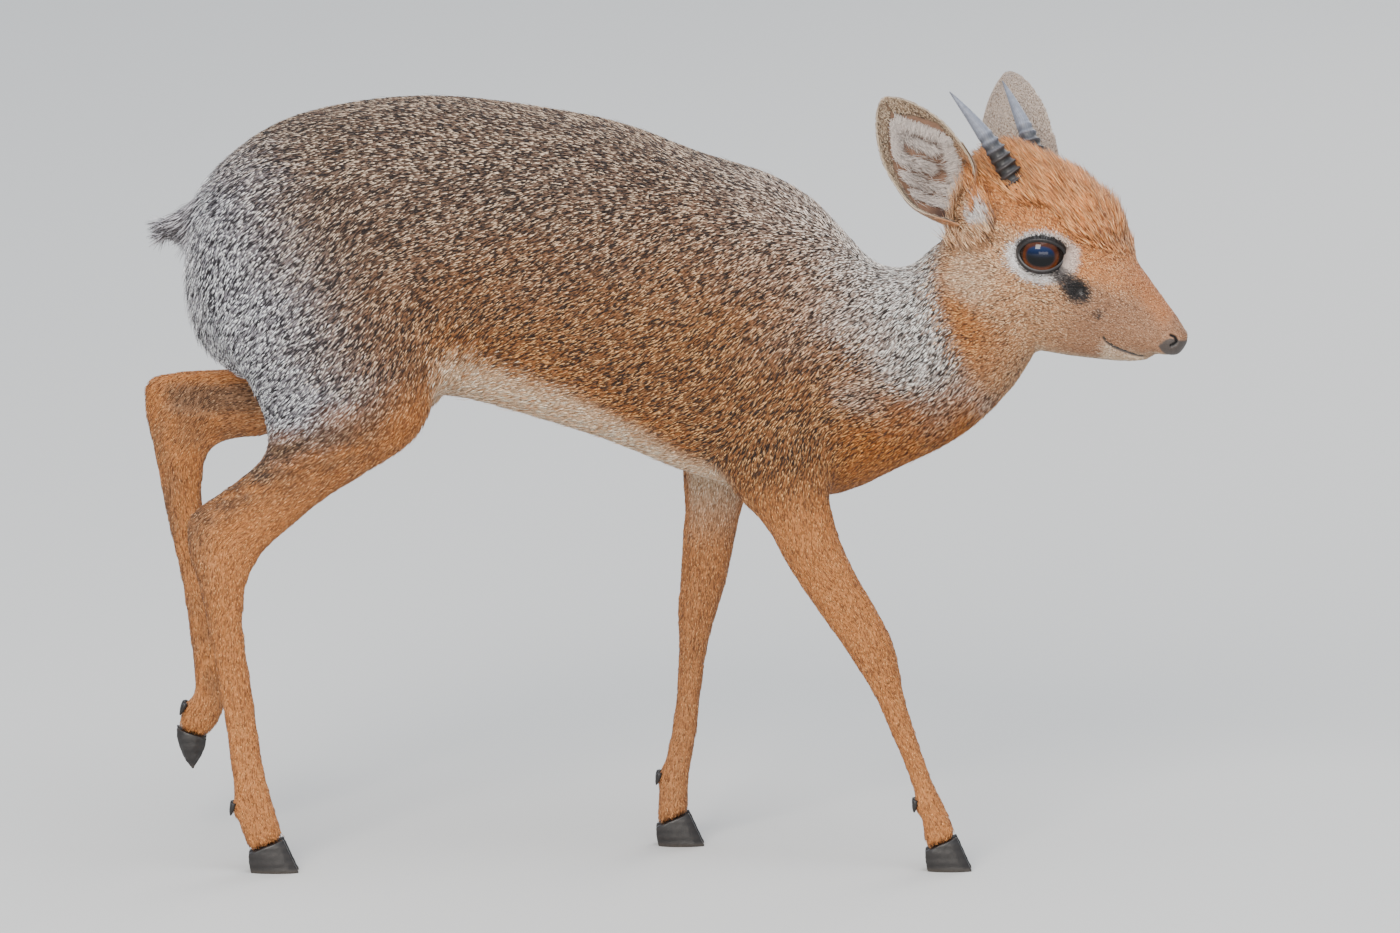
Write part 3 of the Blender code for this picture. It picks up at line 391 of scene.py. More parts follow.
def relax(points, edges, share, times):
    """Draw each point towards the mean of its neighbours by its share, several times."""
    count = len(points)
    a, b = edges.T
    near = np.bincount(edges.ravel(), minlength=count)
    for _ in range(times):
        mean = np.empty_like(points)
        for c in range(3):
            mean[:, c] = np.bincount(a, points[b, c], count) + np.bincount(b, points[a, c], count)
        mean /= near[:, None]
        points = mix(points, mean, share)
    return points


def leg_share(points):
    """1 on the legs below the body, 0 on the trunk, neck and head."""
    low = fall(points[:, 2], 0.190, 0.235)
    lifted = (fall(points[:, 0], -0.225, -0.205) * fall(points[:, 2], 0.268, 0.280)
              * ramp(points[:, 1] - MIDDLE_Y, 0.022, 0.030))
    return np.maximum(low, lifted)


def head_share(points):
    """1 on the head, 0 on the neck, in the direction along the skull."""
    local = to_head(points)
    along = local @ np.array([0.70, 0.0, 0.71])
    return ramp(along, -0.062, -0.046) * ramp(points[:, 0], 0.135, 0.150)


def coat_depth(points):
    """How far the skin lies below the outline of the coat."""
    local = to_head(points)
    head = head_share(points)
    legs = leg_share(points)
    depth = 0.0014 + 0.0008 * fall(points[:, 0], -0.25, -0.20)
    depth = depth * (1 - legs) + 0.0006 * legs
    face = 0.0006 * fall(local[:, 0], 0.045, 0.075) + 0.00005
    return depth * (1 - head) + face * head


def push(points, normals, place_at, radius, amount):
    """Raise or sink a soft round spot."""
    gap = gap_to(points, place_at)
    return points + normals * (amount * np.exp(-(gap / radius) ** 2))[:, None]


def groove(points, normals, line, depth, width):
    """Sink a groove along a line through the head's frame."""
    gap = line_gap(points, from_head(spline(line, 6)))
    return points - normals * (depth * np.exp(-(gap / width) ** 2))[:, None], gap


MOUTH_LINE = [(0.0515, -0.0248), (0.0545, -0.0265), (0.0600, -0.0272), (0.0670, -0.0262),
              (0.0735, -0.0246), (0.0800, -0.0220), (0.0850, -0.0195)]
NOSTRIL_LINE = [(0.0868, 0.0068, -0.0098), (0.0885, 0.0056, -0.0068), (0.0868, 0.0062, -0.0045),
                (0.0842, 0.0078, -0.0042)]
GLAND = (0.0318, 0.0196, -0.0072)


def gland_place(side):
    """Middle of the gland in front of an eye, in the head's frame."""
    return np.array([GLAND[0], side * GLAND[1], GLAND[2]])


def skin_side_points(line, side, surface):
    """A line seen from the side, laid on the head's surface."""
    out = []
    for x, z in line:
        start = Vector(from_head([x, side * 0.04, z]))
        way = Vector(np.array([0, -side, 0]) @ HEAD_TURN.T)
        hit = surface.ray_cast(start, way)[0]
        if hit:
            out.append(to_head(np.array(hit)[None])[0])
    return out


def make_skin():
    """The skin, and how far each of its points lies from the mouth and from the nostrils."""
    skin = flesh_shell()

    def face_part(points):
        local = to_head(points)
        return (local[:, 0] > -0.022) & (head_share(points) > 0.5)

    def fine_part(points):
        local = to_head(points)
        near_eye = np.minimum(*[gap_to(points, EYES[side][0]) for side in SIDES.values()]) < 0.0215
        return (near_eye & (np.abs(local[:, 1]) > 0.013)) | (local[:, 0] > 0.050)

    points = read(skin)
    edges = edges_of(skin)
    head = head_share(points)
    legs = leg_share(points)
    local = to_head(points)
    crest = head * ramp(local[:, 2], 0.016, 0.024) * fall(local[:, 0], 0.040, 0.055)
    tail = fall(points[:, 0], -0.262, -0.254)
    tail = tail * ramp(points[:, 2], 0.325, 0.335)
    body = (1 - head) * (1 - legs)
    points = relax(points, edges, 0.5 * np.clip(body + crest + tail, 0, 1), 16)
    points = relax(points, edges, 0.5 * np.clip(legs + 0.7 * head, 0, 1), 3)
    write(skin, points)
    refine(skin, face_part)
    refine(skin, fine_part)
    points, edges = read(skin), edges_of(skin)
    points = relax(points, edges, 0.5 * head_share(points), 5)
    write(skin, points)
    normals = read(skin, "normal")
    local = to_head(points)
    crest = head_share(points) * ramp(local[:, 2], 0.018, 0.026) * fall(local[:, 0], 0.035, 0.048)
    depth = coat_depth(points) + 0.0022 * crest
    points = points - normals * depth[:, None]
    points = muscle(points, normals)
    points = leg_forms(points, normals)
    points, mouth_gap, nostril_gap = face_forms(skin, points)
    write(skin, points)
    for side in SIDES.values():
        points = open_lids(points, side)
    write(skin, points)
    smooth_shading(skin)
    return skin, mouth_gap, nostril_gap


def muscle(points, normals):
    """Soft forms under the coat, the same on both sides."""
    forms = [((0.070, 0.036, 0.300), 0.030, 0.0010), ((0.012, 0.046, 0.285), 0.022, -0.0012),
             ((-0.105, 0.048, 0.300), 0.026, -0.0016), ((-0.190, 0.046, 0.330), 0.040, 0.0010),
             ((-0.215, 0.040, 0.235), 0.014, -0.0008), ((0.040, 0.046, 0.240), 0.020, 0.0008)]
    for (x, y, z), radius, amount in forms:
        for side in SIDES.values():
            points = push(points, normals, (x, MIDDLE_Y + side * y, z), radius, amount)
    return points


# Hollows on the outer sides of the legs, x and z: side, line, depth and width
LEG_HOLLOWS = [
    (-1, [(-0.2430, 0.1740), (-0.2210, 0.1986), (-0.2090, 0.2110)], 0.0012, 0.0034),
    (-1, [(-0.2390, 0.1440), (-0.2343, 0.0990), (-0.2245, 0.0490)], 0.0006, 0.0022),
    (1, [(-0.2674, 0.2460), (-0.2478, 0.2410), (-0.2257, 0.2333)], 0.0010, 0.0036),
    (1, [(-0.2650, 0.2080), (-0.2576, 0.1580), (-0.2478, 0.1030)], 0.0006, 0.0022),
    (-1, [(0.0850, 0.1700), (0.1168, 0.1010), (0.1400, 0.0420)], 0.0005, 0.0024),
    (1, [(0.0130, 0.1700), (0.0090, 0.1000), (0.0040, 0.0450)], 0.0005, 0.0024),
]


def leg_forms(points, normals):
    """Hollows beside the heels' tendons and down the cannons, and the knobs of hock and knee."""
    y = points[:, 1] - MIDDLE_Y
    for side, line, depth, width in LEG_HOLLOWS:
        gap = line_gap(points[:, [0, 2]], spline(line, 6))
        flank = (y * side > 0.012) * ramp(np.abs(normals[:, 1]), 0.25, 0.65)
        points = points - normals * (flank * depth * np.exp(-(gap / width) ** 2))[:, None]
    knobs = [((-0.2370, -0.0410, 0.1590), 0.0070), ((-0.2620, 0.0400, 0.2270), 0.0070),
             ((0.1150, -0.0400, 0.1270), 0.0080), ((0.0060, 0.0400, 0.1270), 0.0080)]
    for (x, side_y, z), radius in knobs:
        points = push(points, normals, (x, MIDDLE_Y + side_y, z), radius, 0.0007)
    return points


def face_forms(skin, points):
    """Brow, cheek, muzzle, nostrils, mouth and the hollow of the gland."""
    write(skin, points)
    normals = read(skin, "normal")
    surface = BVHTree.FromPolygons([Vector(p) for p in points],
                                   [tuple(face.vertices) for face in skin.data.polygons])
    spots = [((0.006, 0.020, 0.0175), 0.0075, 0.0010), ((0.022, 0.0165, 0.0050), 0.0060, -0.0009),
             ((-0.006, 0.026, -0.030), 0.0120, 0.0012), ((0.040, 0.0135, -0.0200), 0.0080, 0.0006),
             (GLAND, 0.0034, -0.0016), ((0.0790, 0.0075, -0.0060), 0.0045, 0.0006),
             ((0.0720, 0.0085, -0.0150), 0.0050, 0.0005), ((0.0690, 0.0060, -0.0300), 0.0040, 0.0004),
             ((0.0885, 0.0020, -0.0140), 0.0045, 0.0006), ((0.0530, 0.0110, -0.0300), 0.0050, 0.0006)]
    for (x, y, z), radius, amount in spots:
        for side in SIDES.values():
            points = push(points, normals, from_head([x, side * y, z]), radius, amount)
    mouth_gap = np.full(len(points), 1.0)
    nostril_gap = np.full(len(points), 1.0)
    for side in SIDES.values():
        line = skin_side_points(MOUTH_LINE, side, surface)
        points, gap = groove(points, normals, line, 0.0018, 0.0010)
        mouth_gap = np.minimum(mouth_gap, gap)
        line = [(x, side * y, z) for x, y, z in NOSTRIL_LINE]
        points, gap = groove(points, normals, line, 0.0022, 0.0009)
        nostril_gap = np.minimum(nostril_gap, gap)
    return points, mouth_gap, nostril_gap


def open_lids(points, side):
    """Sink the skin under the eyeball inside the lids, and swell it round them."""
    centre = EYES[side][0]
    outside, reach, _, _ = almond_distance(points, side)
    near = (reach < EYE_RADIUS + LID_REACH) & (reach > EYE_RADIUS - LID_REACH) & (outside < 0.012)
    sunk = EYE_RADIUS - LID_SUNK
    rim = EYE_RADIUS + LID_PROUD
    target = sunk + (rim - sunk) * ramp(outside, 0.0006, 0.0024)
    weight = near * fall(outside, 0.0035, 0.0075)
    moved = reach + (target - reach) * weight
    return centre + (points - centre) * (moved / np.maximum(reach, 1e-9))[:, None]


# Unwrap: the skin in flat charts by body part and by the way that it faces

ZONES = ["head", "neck", "trunk", "tail"] + [kind + "_" + side for kind, side in LEGS]


def zone_of_node(name):
    if name in ("head", "neck", "tail"):
        return name
    if name == "torso":
        return "trunk"
    kind = "hind" if name.startswith(("thigh", "shank")) or "_hind_" in name else "fore"
    return kind + "_" + name.rsplit("_", 1)[1]


def find_zones(points):
    """The number of the body part that each point lies nearest to."""
    marks = []
    for name in FLESH:
        zone = ZONES.index(zone_of_node(name))
        marks += [(vert.co, zone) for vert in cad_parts[name].data.vertices]
    tree = KDTree(len(marks))
    for i, (co, _) in enumerate(marks):
        tree.insert(co, i)
    tree.balance()
    return np.array([marks[tree.find(p)[1]][1] for p in points])


def unwrap(corners, normals, zones):
    """Flat places for the corners of triangles: each chart is one zone seen along one axis."""
    axis = np.argmax(np.abs(normals), axis=1)
    sign = normals[np.arange(len(normals)), axis] > 0
    chart = (zones * 6 + axis * 2 + sign).astype(int)
    others = np.array([[1, 2], [0, 2], [0, 1]])[axis]
    flat = np.take_along_axis(corners, others[:, None, :].repeat(3, axis=1), axis=2)
    boxes = []
    for number in np.unique(chart):
        inside = flat[chart == number].reshape(-1, 2)
        low, high = inside.min(axis=0), inside.max(axis=0)
        boxes.append((high[1] - low[1], high[0] - low[0], number, low))
    boxes.sort(key=lambda row: (-row[0], row[2]))
    margin = 0.004
    total = math.sqrt(sum((h + margin) * (w + margin) for h, w, _, _ in boxes)) * 1.12
    x = y = shelf = 0.0
    for height, width, number, low in boxes:
        if x + width + margin > total:
            x, y, shelf = 0.0, y + shelf, 0.0
        here = chart == number
        flat[here] = flat[here] - low + np.array([x, y]) + margin / 2
        x += width + margin
        shelf = max(shelf, height + margin)
    return flat / max(total, y + shelf)


def set_uv(obj, flat):
    layer = obj.data.uv_layers.new(name="OFBake")
    layer.data.foreach_set("uv", flat.astype(np.float32).ravel())


# Markings: for each kind of coat its mean colour, its pale and its dark ticks as on screen, and
# the shares of pale and of dark hairs

COATS = {
    "back": ((118, 92, 75), (216, 190, 164), (42, 32, 29), 0.28, 0.41),
    "rump": ((156, 152, 158), (252, 252, 255), (46, 42, 46), 0.44, 0.33),
    "flank": ((150, 96, 52), (216, 164, 108), (48, 31, 22), 0.30, 0.34),
    "neck": ((170, 158, 150), (252, 246, 240), (50, 43, 41), 0.50, 0.25),
    "chest": ((178, 104, 38), (222, 150, 72), (88, 50, 24), 0.30, 0.24),
    "belly": ((230, 196, 160), (250, 232, 208), (204, 158, 118), 0.35, 0.15),
    "leg": ((192, 124, 66), (218, 152, 92), (144, 88, 46), 0.30, 0.26),
    "shade": ((124, 92, 68), (172, 138, 106), (70, 50, 38), 0.25, 0.28),
    "inner": ((222, 200, 172), (244, 230, 210), (184, 152, 120), 0.30, 0.15),
    "face": ((194, 144, 102), (234, 196, 154), (98, 68, 48), 0.34, 0.18),
    "crest": ((208, 134, 74), (232, 170, 112), (132, 78, 46), 0.30, 0.16),
    "bridge": ((180, 118, 74), (204, 146, 102), (138, 88, 56), 0.24, 0.14),
    "muzzle": ((164, 120, 88), (192, 152, 120), (118, 84, 62), 0.26, 0.16),
    "white": ((226, 222, 220), (250, 248, 246), (176, 166, 160), 0.40, 0.14),
    "sooty": ((54, 48, 47), (104, 96, 92), (22, 19, 19), 0.20, 0.40),
    "black": ((26, 22, 22), (48, 42, 41), (14, 12, 12), 0.15, 0.30),
}
COAT_TABLE = {name: np.hstack([srgb(*mean), srgb(*pale), srgb(*dark), shares])
              for name, (mean, pale, dark, *shares) in COATS.items()}


def belly_line(x):
    """Height of the sharp edge between the flank and the cream belly."""
    return np.interp(x, [-0.150, -0.114, -0.057, -0.014, 0.019, 0.060],
                     [0.268, 0.282, 0.263, 0.241, 0.222, 0.206])


def thigh_line(x):
    """Height of the edge between the grizzled thigh and the tan leg."""
    return np.interp(x, [-0.245, -0.228, -0.212, -0.197, -0.170, -0.127, -0.110],
                     [0.240, 0.240, 0.238, 0.242, 0.252, 0.272, 0.300])


def markings(points, normals):
    """The coat at each point: three colours and two shares, as in the table above."""
    x, z = points[:, 0], points[:, 2]
    y = points[:, 1] - MIDDLE_Y
    wander = ripple(points, 0.030, 21) * 0.010
    local = to_head(points)
    head = head_share(points)
    legs = leg_share(points)
    coat = np.tile(COAT_TABLE["back"], (len(points), 1))

    def over(name, weight):
        nonlocal coat
        coat = mix(coat, COAT_TABLE[name], np.clip(weight, 0, 1))

    trunk = ramp(x, -0.21, -0.09) * fall(x, 0.11, 0.15)
    over("flank", 0.96 * trunk * fall(z + wander, 0.290, 0.392))
    over("flank", 0.45 * ramp(x, -0.02, 0.05) * fall(x, 0.10, 0.14) * fall(z, 0.30, 0.35))
    rear = fall(x + 0.4 * (z - 0.3) + wander, -0.225, -0.145) * fall(z + wander, 0.370, 0.422)
    over("rump", rear)
    over("neck", 0.32 * ramp(x + 0.3 * (z - 0.3) + wander, 0.020, 0.100) * ramp(z + wander, 0.250, 0.320))
    over("neck", ramp(x + 0.3 * (z - 0.3) + wander, 0.075, 0.135) * ramp(z + wander, 0.230, 0.290))
    under_neck = ramp(x, 0.070, 0.11) * fall(z - 0.35 * (x - 0.089) + wander, 0.214, 0.258)
    over("chest", under_neck)
    inward = np.where(y < 0, normals[:, 1], -normals[:, 1])
    # the belly's cream runs between the thighs, and up to the fold in front of them
    line = belly_line(x)
    below = fall(z + wander * 0.3, line - 0.004, line + 0.013)
    below = below * np.where(x > -0.02, ramp(z, 0.196, 0.212), ramp(z, 0.150, 0.200)) * (x < 0.075)
    below = below * (1 - ramp(y, 0.022, 0.030) * ramp(x, -0.012, 0.000))
    below = below * (1 - ramp(-y, 0.022, 0.030) * ramp(x, 0.026, 0.040))
    between = np.maximum(ramp(x, -0.128, -0.118), ramp(inward, 0.1, 0.5) * ramp(x, -0.225, -0.19))
    between = np.maximum(between, fall(np.abs(y), 0.012, 0.022) * ramp(x, -0.20, -0.17))
    over("chest", 0.55 * fall(z + wander * 0.3, line + 0.004, line + 0.034) * between * (x < 0.02))
    over("belly", below * between)
    # legs
    hind = fall(x, -0.122, -0.112) * fall(z + wander * 0.6, thigh_line(x) - 0.014, thigh_line(x) + 0.012)
    over("leg", np.where(x < -0.05, hind, legs) * (1 - below * between) * fall(x, 0.15, 0.17))
    shank = fall(x, -0.16, -0.14) * ramp(z, 0.150, 0.200) * (y < 0.02)
    shank = shank * fall(z, thigh_line(x) - 0.006, thigh_line(x) + 0.008)
    # grey-brown ticks fade down the shank, darkest along its upper edge
    fade = ramp(z - thigh_line(x), -0.050, -0.004)
    over("shade", shank * (0.75 * fade + 0.60 * ramp(-0.69 * x + 0.72 * z, 0.297, 0.310))
         * ramp(ripple(points * np.array([0.5, 1.0, 0.7]), 0.008, 6), -1.2, 0.6))
    hock_back = (y < 0) * fall(x, -0.252, -0.238) * ramp(z, 0.10, 0.15) * fall(z, 0.19, 0.215)
    over("shade", 0.35 * hock_back)
    far_hock = (y > 0.02) * fall(x, -0.215, -0.18) * ramp(z, 0.05, 0.10) * fall(z, 0.232, 0.240)
    over("shade", 0.55 * far_hock * ramp(ripple(points, 0.02, 5), -0.6, 0.9))
    # the lifted shank: pale along its upper edge, with a dark brown band below that
    lifted = (y > 0.02) * fall(x, -0.200, -0.180) * (z < 0.275) * ramp(z, 0.215, 0.225)
    over("leg", lifted)
    over("shade", 0.85 * lifted * ramp(z, 0.234, 0.243) * fall(z, 0.252, 0.258) * ramp(x, -0.276, -0.262))
    over("shade", 0.45 * lifted * fall(z, 0.234, 0.243) * ramp(ripple(points, 0.012, 5), -0.9, 0.6))
    over("inner", 0.8 * ramp(inward, 0.35, 0.8) * ramp(z, 0.160, 0.215) * (z < 0.27) * (x < 0.08)
         * (1 - head) * (1 - (y > 0.02) * (x < -0.20)))
    # painted shade: the far fore leg is darkened a little towards the shade coat
    over("shade", 0.25 * legs * (y > 0) * (x > -0.05))
    # head
    over("face", head)
    lx, ly, lz = local[:, 0], np.abs(local[:, 1]), local[:, 2]
    up = normals @ HEAD_TURN[:, 2]
    # orange over the crown, the temples and the forehead, down to the eyes' rings
    hem = np.interp(lx, [-0.050, -0.030, -0.012, 0.012, 0.028, 0.044, 0.060],
                    [0.004, -0.002, 0.004, 0.010, 0.000, -0.002, 0.004])
    top = ramp(lz + 0.3 * wander, hem - 0.004, hem + 0.006) * fall(lx, 0.050, 0.070)
    over("crest", head * top)
    ticking = head * ramp(lx, 0.0, 0.02) * fall(lx, 0.050, 0.062) * fall(ly, 0.005, 0.012)
    streaks = ripple(local * np.array([0.3, 1.0, 1.0]), 0.003, 19)
    over("shade", 0.75 * ticking * top * ramp(streaks, -0.3, 0.7))
    bridge = ramp(lx, 0.040, 0.052) * fall(ly, 0.006, 0.012) * fall(lx, 0.074, 0.084)
    over("muzzle", head * ramp(lx, 0.016, 0.046) * (1 - 0.6 * top))
    over("bridge", head * bridge * ramp(up, 0.1, 0.6))
    over("chest", 0.8 * head * fall(lz + 0.25 * lx, -0.052, -0.036) * fall(lx, -0.01, 0.02))
    over("inner", 0.6 * head * fall(up, -0.95, -0.6) * (lz < -0.015))
    over("inner", 0.3 * head * ramp(-lx, 0.000, 0.018) * fall(-lx, 0.030, 0.040)
         * ramp(-lz, 0.010, 0.024) * fall(-lz, 0.034, 0.044))
    lip = np.interp(lx, [row[0] for row in MOUTH_LINE], [row[1] for row in MOUTH_LINE])
    chin = head * ramp(lx, 0.050, 0.056) * fall(lz - lip, -0.0016, 0.0)
    over("inner", 0.65 * chin)
    over("inner", 0.30 * head * ramp(lx, 0.060, 0.075) * fall(lz - lip, 0.0015, 0.0055))
    for side in SIDES.values():
        here = head * (local[:, 1] * side > 0)
        outside, reach, ex, ey = almond_distance(points, side)
        around = here * (reach < EYE_RADIUS + 0.012)
        # the ring is widest behind and below the eye, narrow above, and fades in front
        gap = np.hypot(np.maximum(outside, 0) * reach / EYE_RADIUS, np.maximum(reach - EYE_RADIUS - 0.001, 0))
        rim = around * fall(gap, 0.0022, 0.0038)
        wide = 0.0086 - 0.0034 * ramp(ey, 0.001, 0.008) + 0.0018 * ramp(ex, 0.006, 0.014)
        ring = fall(gap + ripple(points, 0.005, 9) * 0.0009, wide - 0.0016, wide + 0.0016)
        over("white", around * ring * (1 - 0.45 * ramp(ex, 0.004, 0.014)))
        gland = gland_place(side)
        gap = gap_to(local, gland - np.array([0.0020, 0.0, 0.0002]), (0.80, 0.8, 1.0))
        gap = gap + ripple(points, 0.004, 29) * 0.0006
        strip = line_gap(local, [np.array([0.0170, side * 0.0225, -0.0040]), gland])
        over("sooty", here * 0.9 * fall(strip, 0.0028, 0.0058))
        over("sooty", here * 0.85 * fall(gap, 0.0050, 0.0092))
        over("black", here * fall(gap, 0.0030, 0.0066))
        over("black", rim)
        spot = gap_to(local, (0.0453, side * 0.0150, -0.0138))
        over("sooty", here * 0.9 * fall(spot, 0.0012, 0.0040))
        base = gap_to(local, (-0.0395, side * 0.0270, -0.0010), (0.75, 0.8, 1.25))
        base = base + 0.0012 * ripple(points, 0.006, 47)
        over("white", here * 0.9 * fall(base, 0.0050, 0.0095))
        front = gap_to(local, (-0.0300, side * 0.0255, 0.0060), (1.0, 1.0, 0.6))
        over("sooty", here * 0.35 * fall(front, 0.002, 0.006))
    return coat


def leather(points):
    """1 where the nose is bare black leather."""
    local = to_head(points)
    lx, ly, lz = local[:, 0], np.abs(local[:, 1]), local[:, 2]
    edge = np.interp(lz, [-0.0190, -0.0165, -0.0131, -0.0095, -0.0062, -0.0045],
                     [0.0880, 0.0845, 0.0815, 0.0828, 0.0852, 0.0890])
    edge = edge + 0.0003 * ripple(points, 0.003, 53)
    return head_share(points) * ramp(lx + 0.12 * ly - edge, -0.0006, 0.0010) * fall(lz, -0.0062, -0.0046)


# The skin's points and their normals, its triangles with their middles, zones and flat places,
# and each point's distance from the mouth and from the nostrils
Surface = namedtuple("Surface", "points normals triangles centres zones flat mouth nostril")


def skin_finish(skin, mouth_gap, nostril_gap):
    """Colours, masks and the unwrap of the skin."""
    points, normals = read(skin), read(skin, "normal")
    coat = markings(points, normals)
    nose = leather(points)
    tick = ripple(points, 0.0030, 33, 12)
    colour = coat[:, 0:3] * 0.75
    colour = mix(colour, coat[:, 3:6], 0.45 * ramp(tick, 0.2, 0.8))
    colour = mix(colour, coat[:, 6:9], 0.60 * ramp(-tick, 0.1, 0.8))
    black = COAT_TABLE["black"][0:3]
    colour = mix(colour, srgb(62, 53, 48), nose)
    line = fall(mouth_gap, 0.0007, 0.0016)
    colour = mix(colour, black, line)
    # painted shade: the nostril grooves are painted much darker than the black leather, for the shade inside
    # the openings
    colour = mix(colour, black * 0.4, fall(nostril_gap, 0.0006, 0.0014))
    gland_gap = np.minimum(*[gap_to(to_head(points), gland_place(side)) for side in SIDES.values()])
    wet = fall(gland_gap, 0.0018, 0.0030)
    colour = mix(colour, black, wet)
    paint_points(skin, colour)
    mark_points(skin, "leather", np.maximum(nose, line))
    mark_points(skin, "wet", wet)
    count = len(skin.data.polygons)
    corners = np.empty(count * 3, np.int32)
    skin.data.loops.foreach_get("vertex_index", corners)
    triangles = corners.reshape(-1, 3)
    face_normals = np.empty(count * 3)
    skin.data.polygons.foreach_get("normal", face_normals)
    centres = points[triangles].mean(axis=1)
    zones = find_zones(centres)
    flat = unwrap(points[triangles], face_normals.reshape(-1, 3), zones)
    set_uv(skin, flat)
    return Surface(points, normals, triangles, centres, zones, flat, mouth_gap, nostril_gap)


# Lie of the coat: places on the body and the way the hair runs there, x and z, with the side
# that a guide is for, or 0 for both

LIE = [
    (0, -0.255, 0.330, -0.30, -0.95), (0, -0.245, 0.385, -0.70, -0.70), (0, -0.200, 0.410, -0.95, -0.25),
    (0, -0.120, 0.415, -1.0, 0.0), (0, -0.020, 0.400, -1.0, 0.0), (0, 0.060, 0.370, -1.0, 0.1),
    (0, -0.120, 0.350, -0.93, -0.35), (0, -0.020, 0.330, -0.90, -0.42), (0, 0.050, 0.330, -0.85, -0.50),
    (0, -0.190, 0.350, -0.75, -0.65), (0, -0.230, 0.300, -0.55, -0.83), (0, -0.190, 0.280, -0.70, -0.70),
    (0, -0.130, 0.290, -0.60, -0.80), (0, -0.060, 0.265, -0.95, -0.30), (0, 0.010, 0.250, -0.90, -0.40),
    (0, 0.060, 0.270, -0.70, -0.70), (0, 0.060, 0.225, -0.35, -0.93), (0, 0.100, 0.300, -0.85, -0.50),
    (0, 0.110, 0.260, -0.95, -0.30), (0, 0.135, 0.300, -0.70, -0.70), (0, 0.160, 0.310, -0.50, -0.86),
    (0, 0.185, 0.300, -0.40, -0.90), (0, 0.150, 0.240, -0.75, -0.60), (0, 0.120, 0.215, -0.80, -0.55),
    (-1, -0.190, 0.215, -0.80, -0.60), (-1, -0.225, 0.200, -0.75, -0.66), (-1, -0.248, 0.165, -0.10, -1.0),
    (-1, -0.235, 0.110, 0.06, -1.0), (-1, -0.225, 0.060, 0.08, -1.0), (-1, -0.220, 0.025, 0.25, -0.95),
    (1, -0.170, 0.245, -1.0, -0.05), (1, -0.220, 0.242, -1.0, -0.15), (1, -0.262, 0.235, -0.60, -0.80),
    (1, -0.265, 0.190, 0.10, -1.0), (1, -0.255, 0.140, 0.20, -1.0), (1, -0.248, 0.095, 0.05, -1.0),
    (1, -0.256, 0.065, -0.35, -0.93), (-1, 0.065, 0.200, 0.15, -1.0), (-1, 0.090, 0.155, 0.45, -0.90),
    (-1, 0.115, 0.110, 0.42, -0.92), (-1, 0.132, 0.065, 0.35, -0.94), (-1, 0.148, 0.030, 0.35, -0.94),
    (1, 0.028, 0.200, -0.15, -1.0), (1, 0.020, 0.140, -0.08, -1.0), (1, 0.010, 0.070, -0.10, -1.0),
    (1, 0.006, 0.030, 0.0, -1.0),
]


def lie_of(points, normals):
    """The way the hair runs along the skin at each point."""
    y = points[:, 1] - MIDDLE_Y
    total = np.zeros((len(points), 3))
    for side, gx, gz, dx, dz in LIE:
        gap = (points[:, 0] - gx) ** 2 + (points[:, 2] - gz) ** 2 + 1e-6
        weight = 1 / gap ** 2
        if side:
            weight = weight * (y * side > 0)
        total += weight[:, None] * np.array([dx, 0.0, dz])
    total = unit(total)
    local = to_head(points)
    head = head_share(points)
    lx, lz = local[:, 0], local[:, 2]
    back = np.zeros((len(points), 3))
    back[:, 0] = -1.0
    back[:, 2] = 0.25 * ramp(lz, 0.005, 0.025) - 0.75 * fall(lz, -0.035, 0.0) * fall(lx, 0.0, 0.03)
    for side in SIDES.values():
        _, reach, _, ey = almond_distance(points, side)
        near = fall(reach, 0.018, 0.026) * (local[:, 1] * side > 0)
        back[:, 2] += near * np.sign(ey) * 0.45 * ramp(np.abs(ey), 0.0, 0.008)
    total = total * (1 - head)[:, None] + (unit(back) @ HEAD_TURN.T) * head[:, None]
    down = ramp(normals[:, 0], 0.75, 0.95) * (1 - head)
    total = total * (1 - down)[:, None] + np.array([0.0, 0.0, -1.0]) * down[:, None]
    total = total - normals * np.sum(total * normals, axis=1)[:, None]
    return unit(total)


# Tufts: points, triangles, base colours, end colours, places along the hair and flat places

def blade_mesh(roots, normals, lies, length, width, lift, colours, uv):
    """Many closed four-sided blades: a root in the skin, two shoulders and a tip."""
    count = len(roots)
    across = np.cross(lies, normals) * (width / 2)[:, None]
    shoulders = (roots + lies * (0.55 * length)[:, None]
                 + normals * (0.55 * length * lift + 0.24 * width)[:, None])
    tip = roots + lies * length[:, None] + normals * (length * lift)[:, None]
    rows = [roots - normals * (0.3 * width)[:, None], shoulders - across, shoulders + across, tip]
    one = np.array([(0, 2, 1), (3, 1, 2), (0, 1, 3), (0, 3, 2)])
    triangles = (np.arange(count)[:, None, None] * 4 + one).reshape(-1, 3)
    shift = draw.uniform(-0.14, 0.10, count)[:, None]
    along = (np.array([0.0, 0.55, 0.55, 1.0]) + shift).ravel()
    spread = uv[:, None, :] + np.array([(0, -0.5), (-0.45, 0.05), (0.45, 0.05), (0, 0.5)]) * PATCH
    base, end = (np.repeat(colour, 4, axis=0) for colour in colours)
    return np.stack(rows, axis=1).reshape(-1, 3), triangles, base, end, along, spread.reshape(-1, 2)


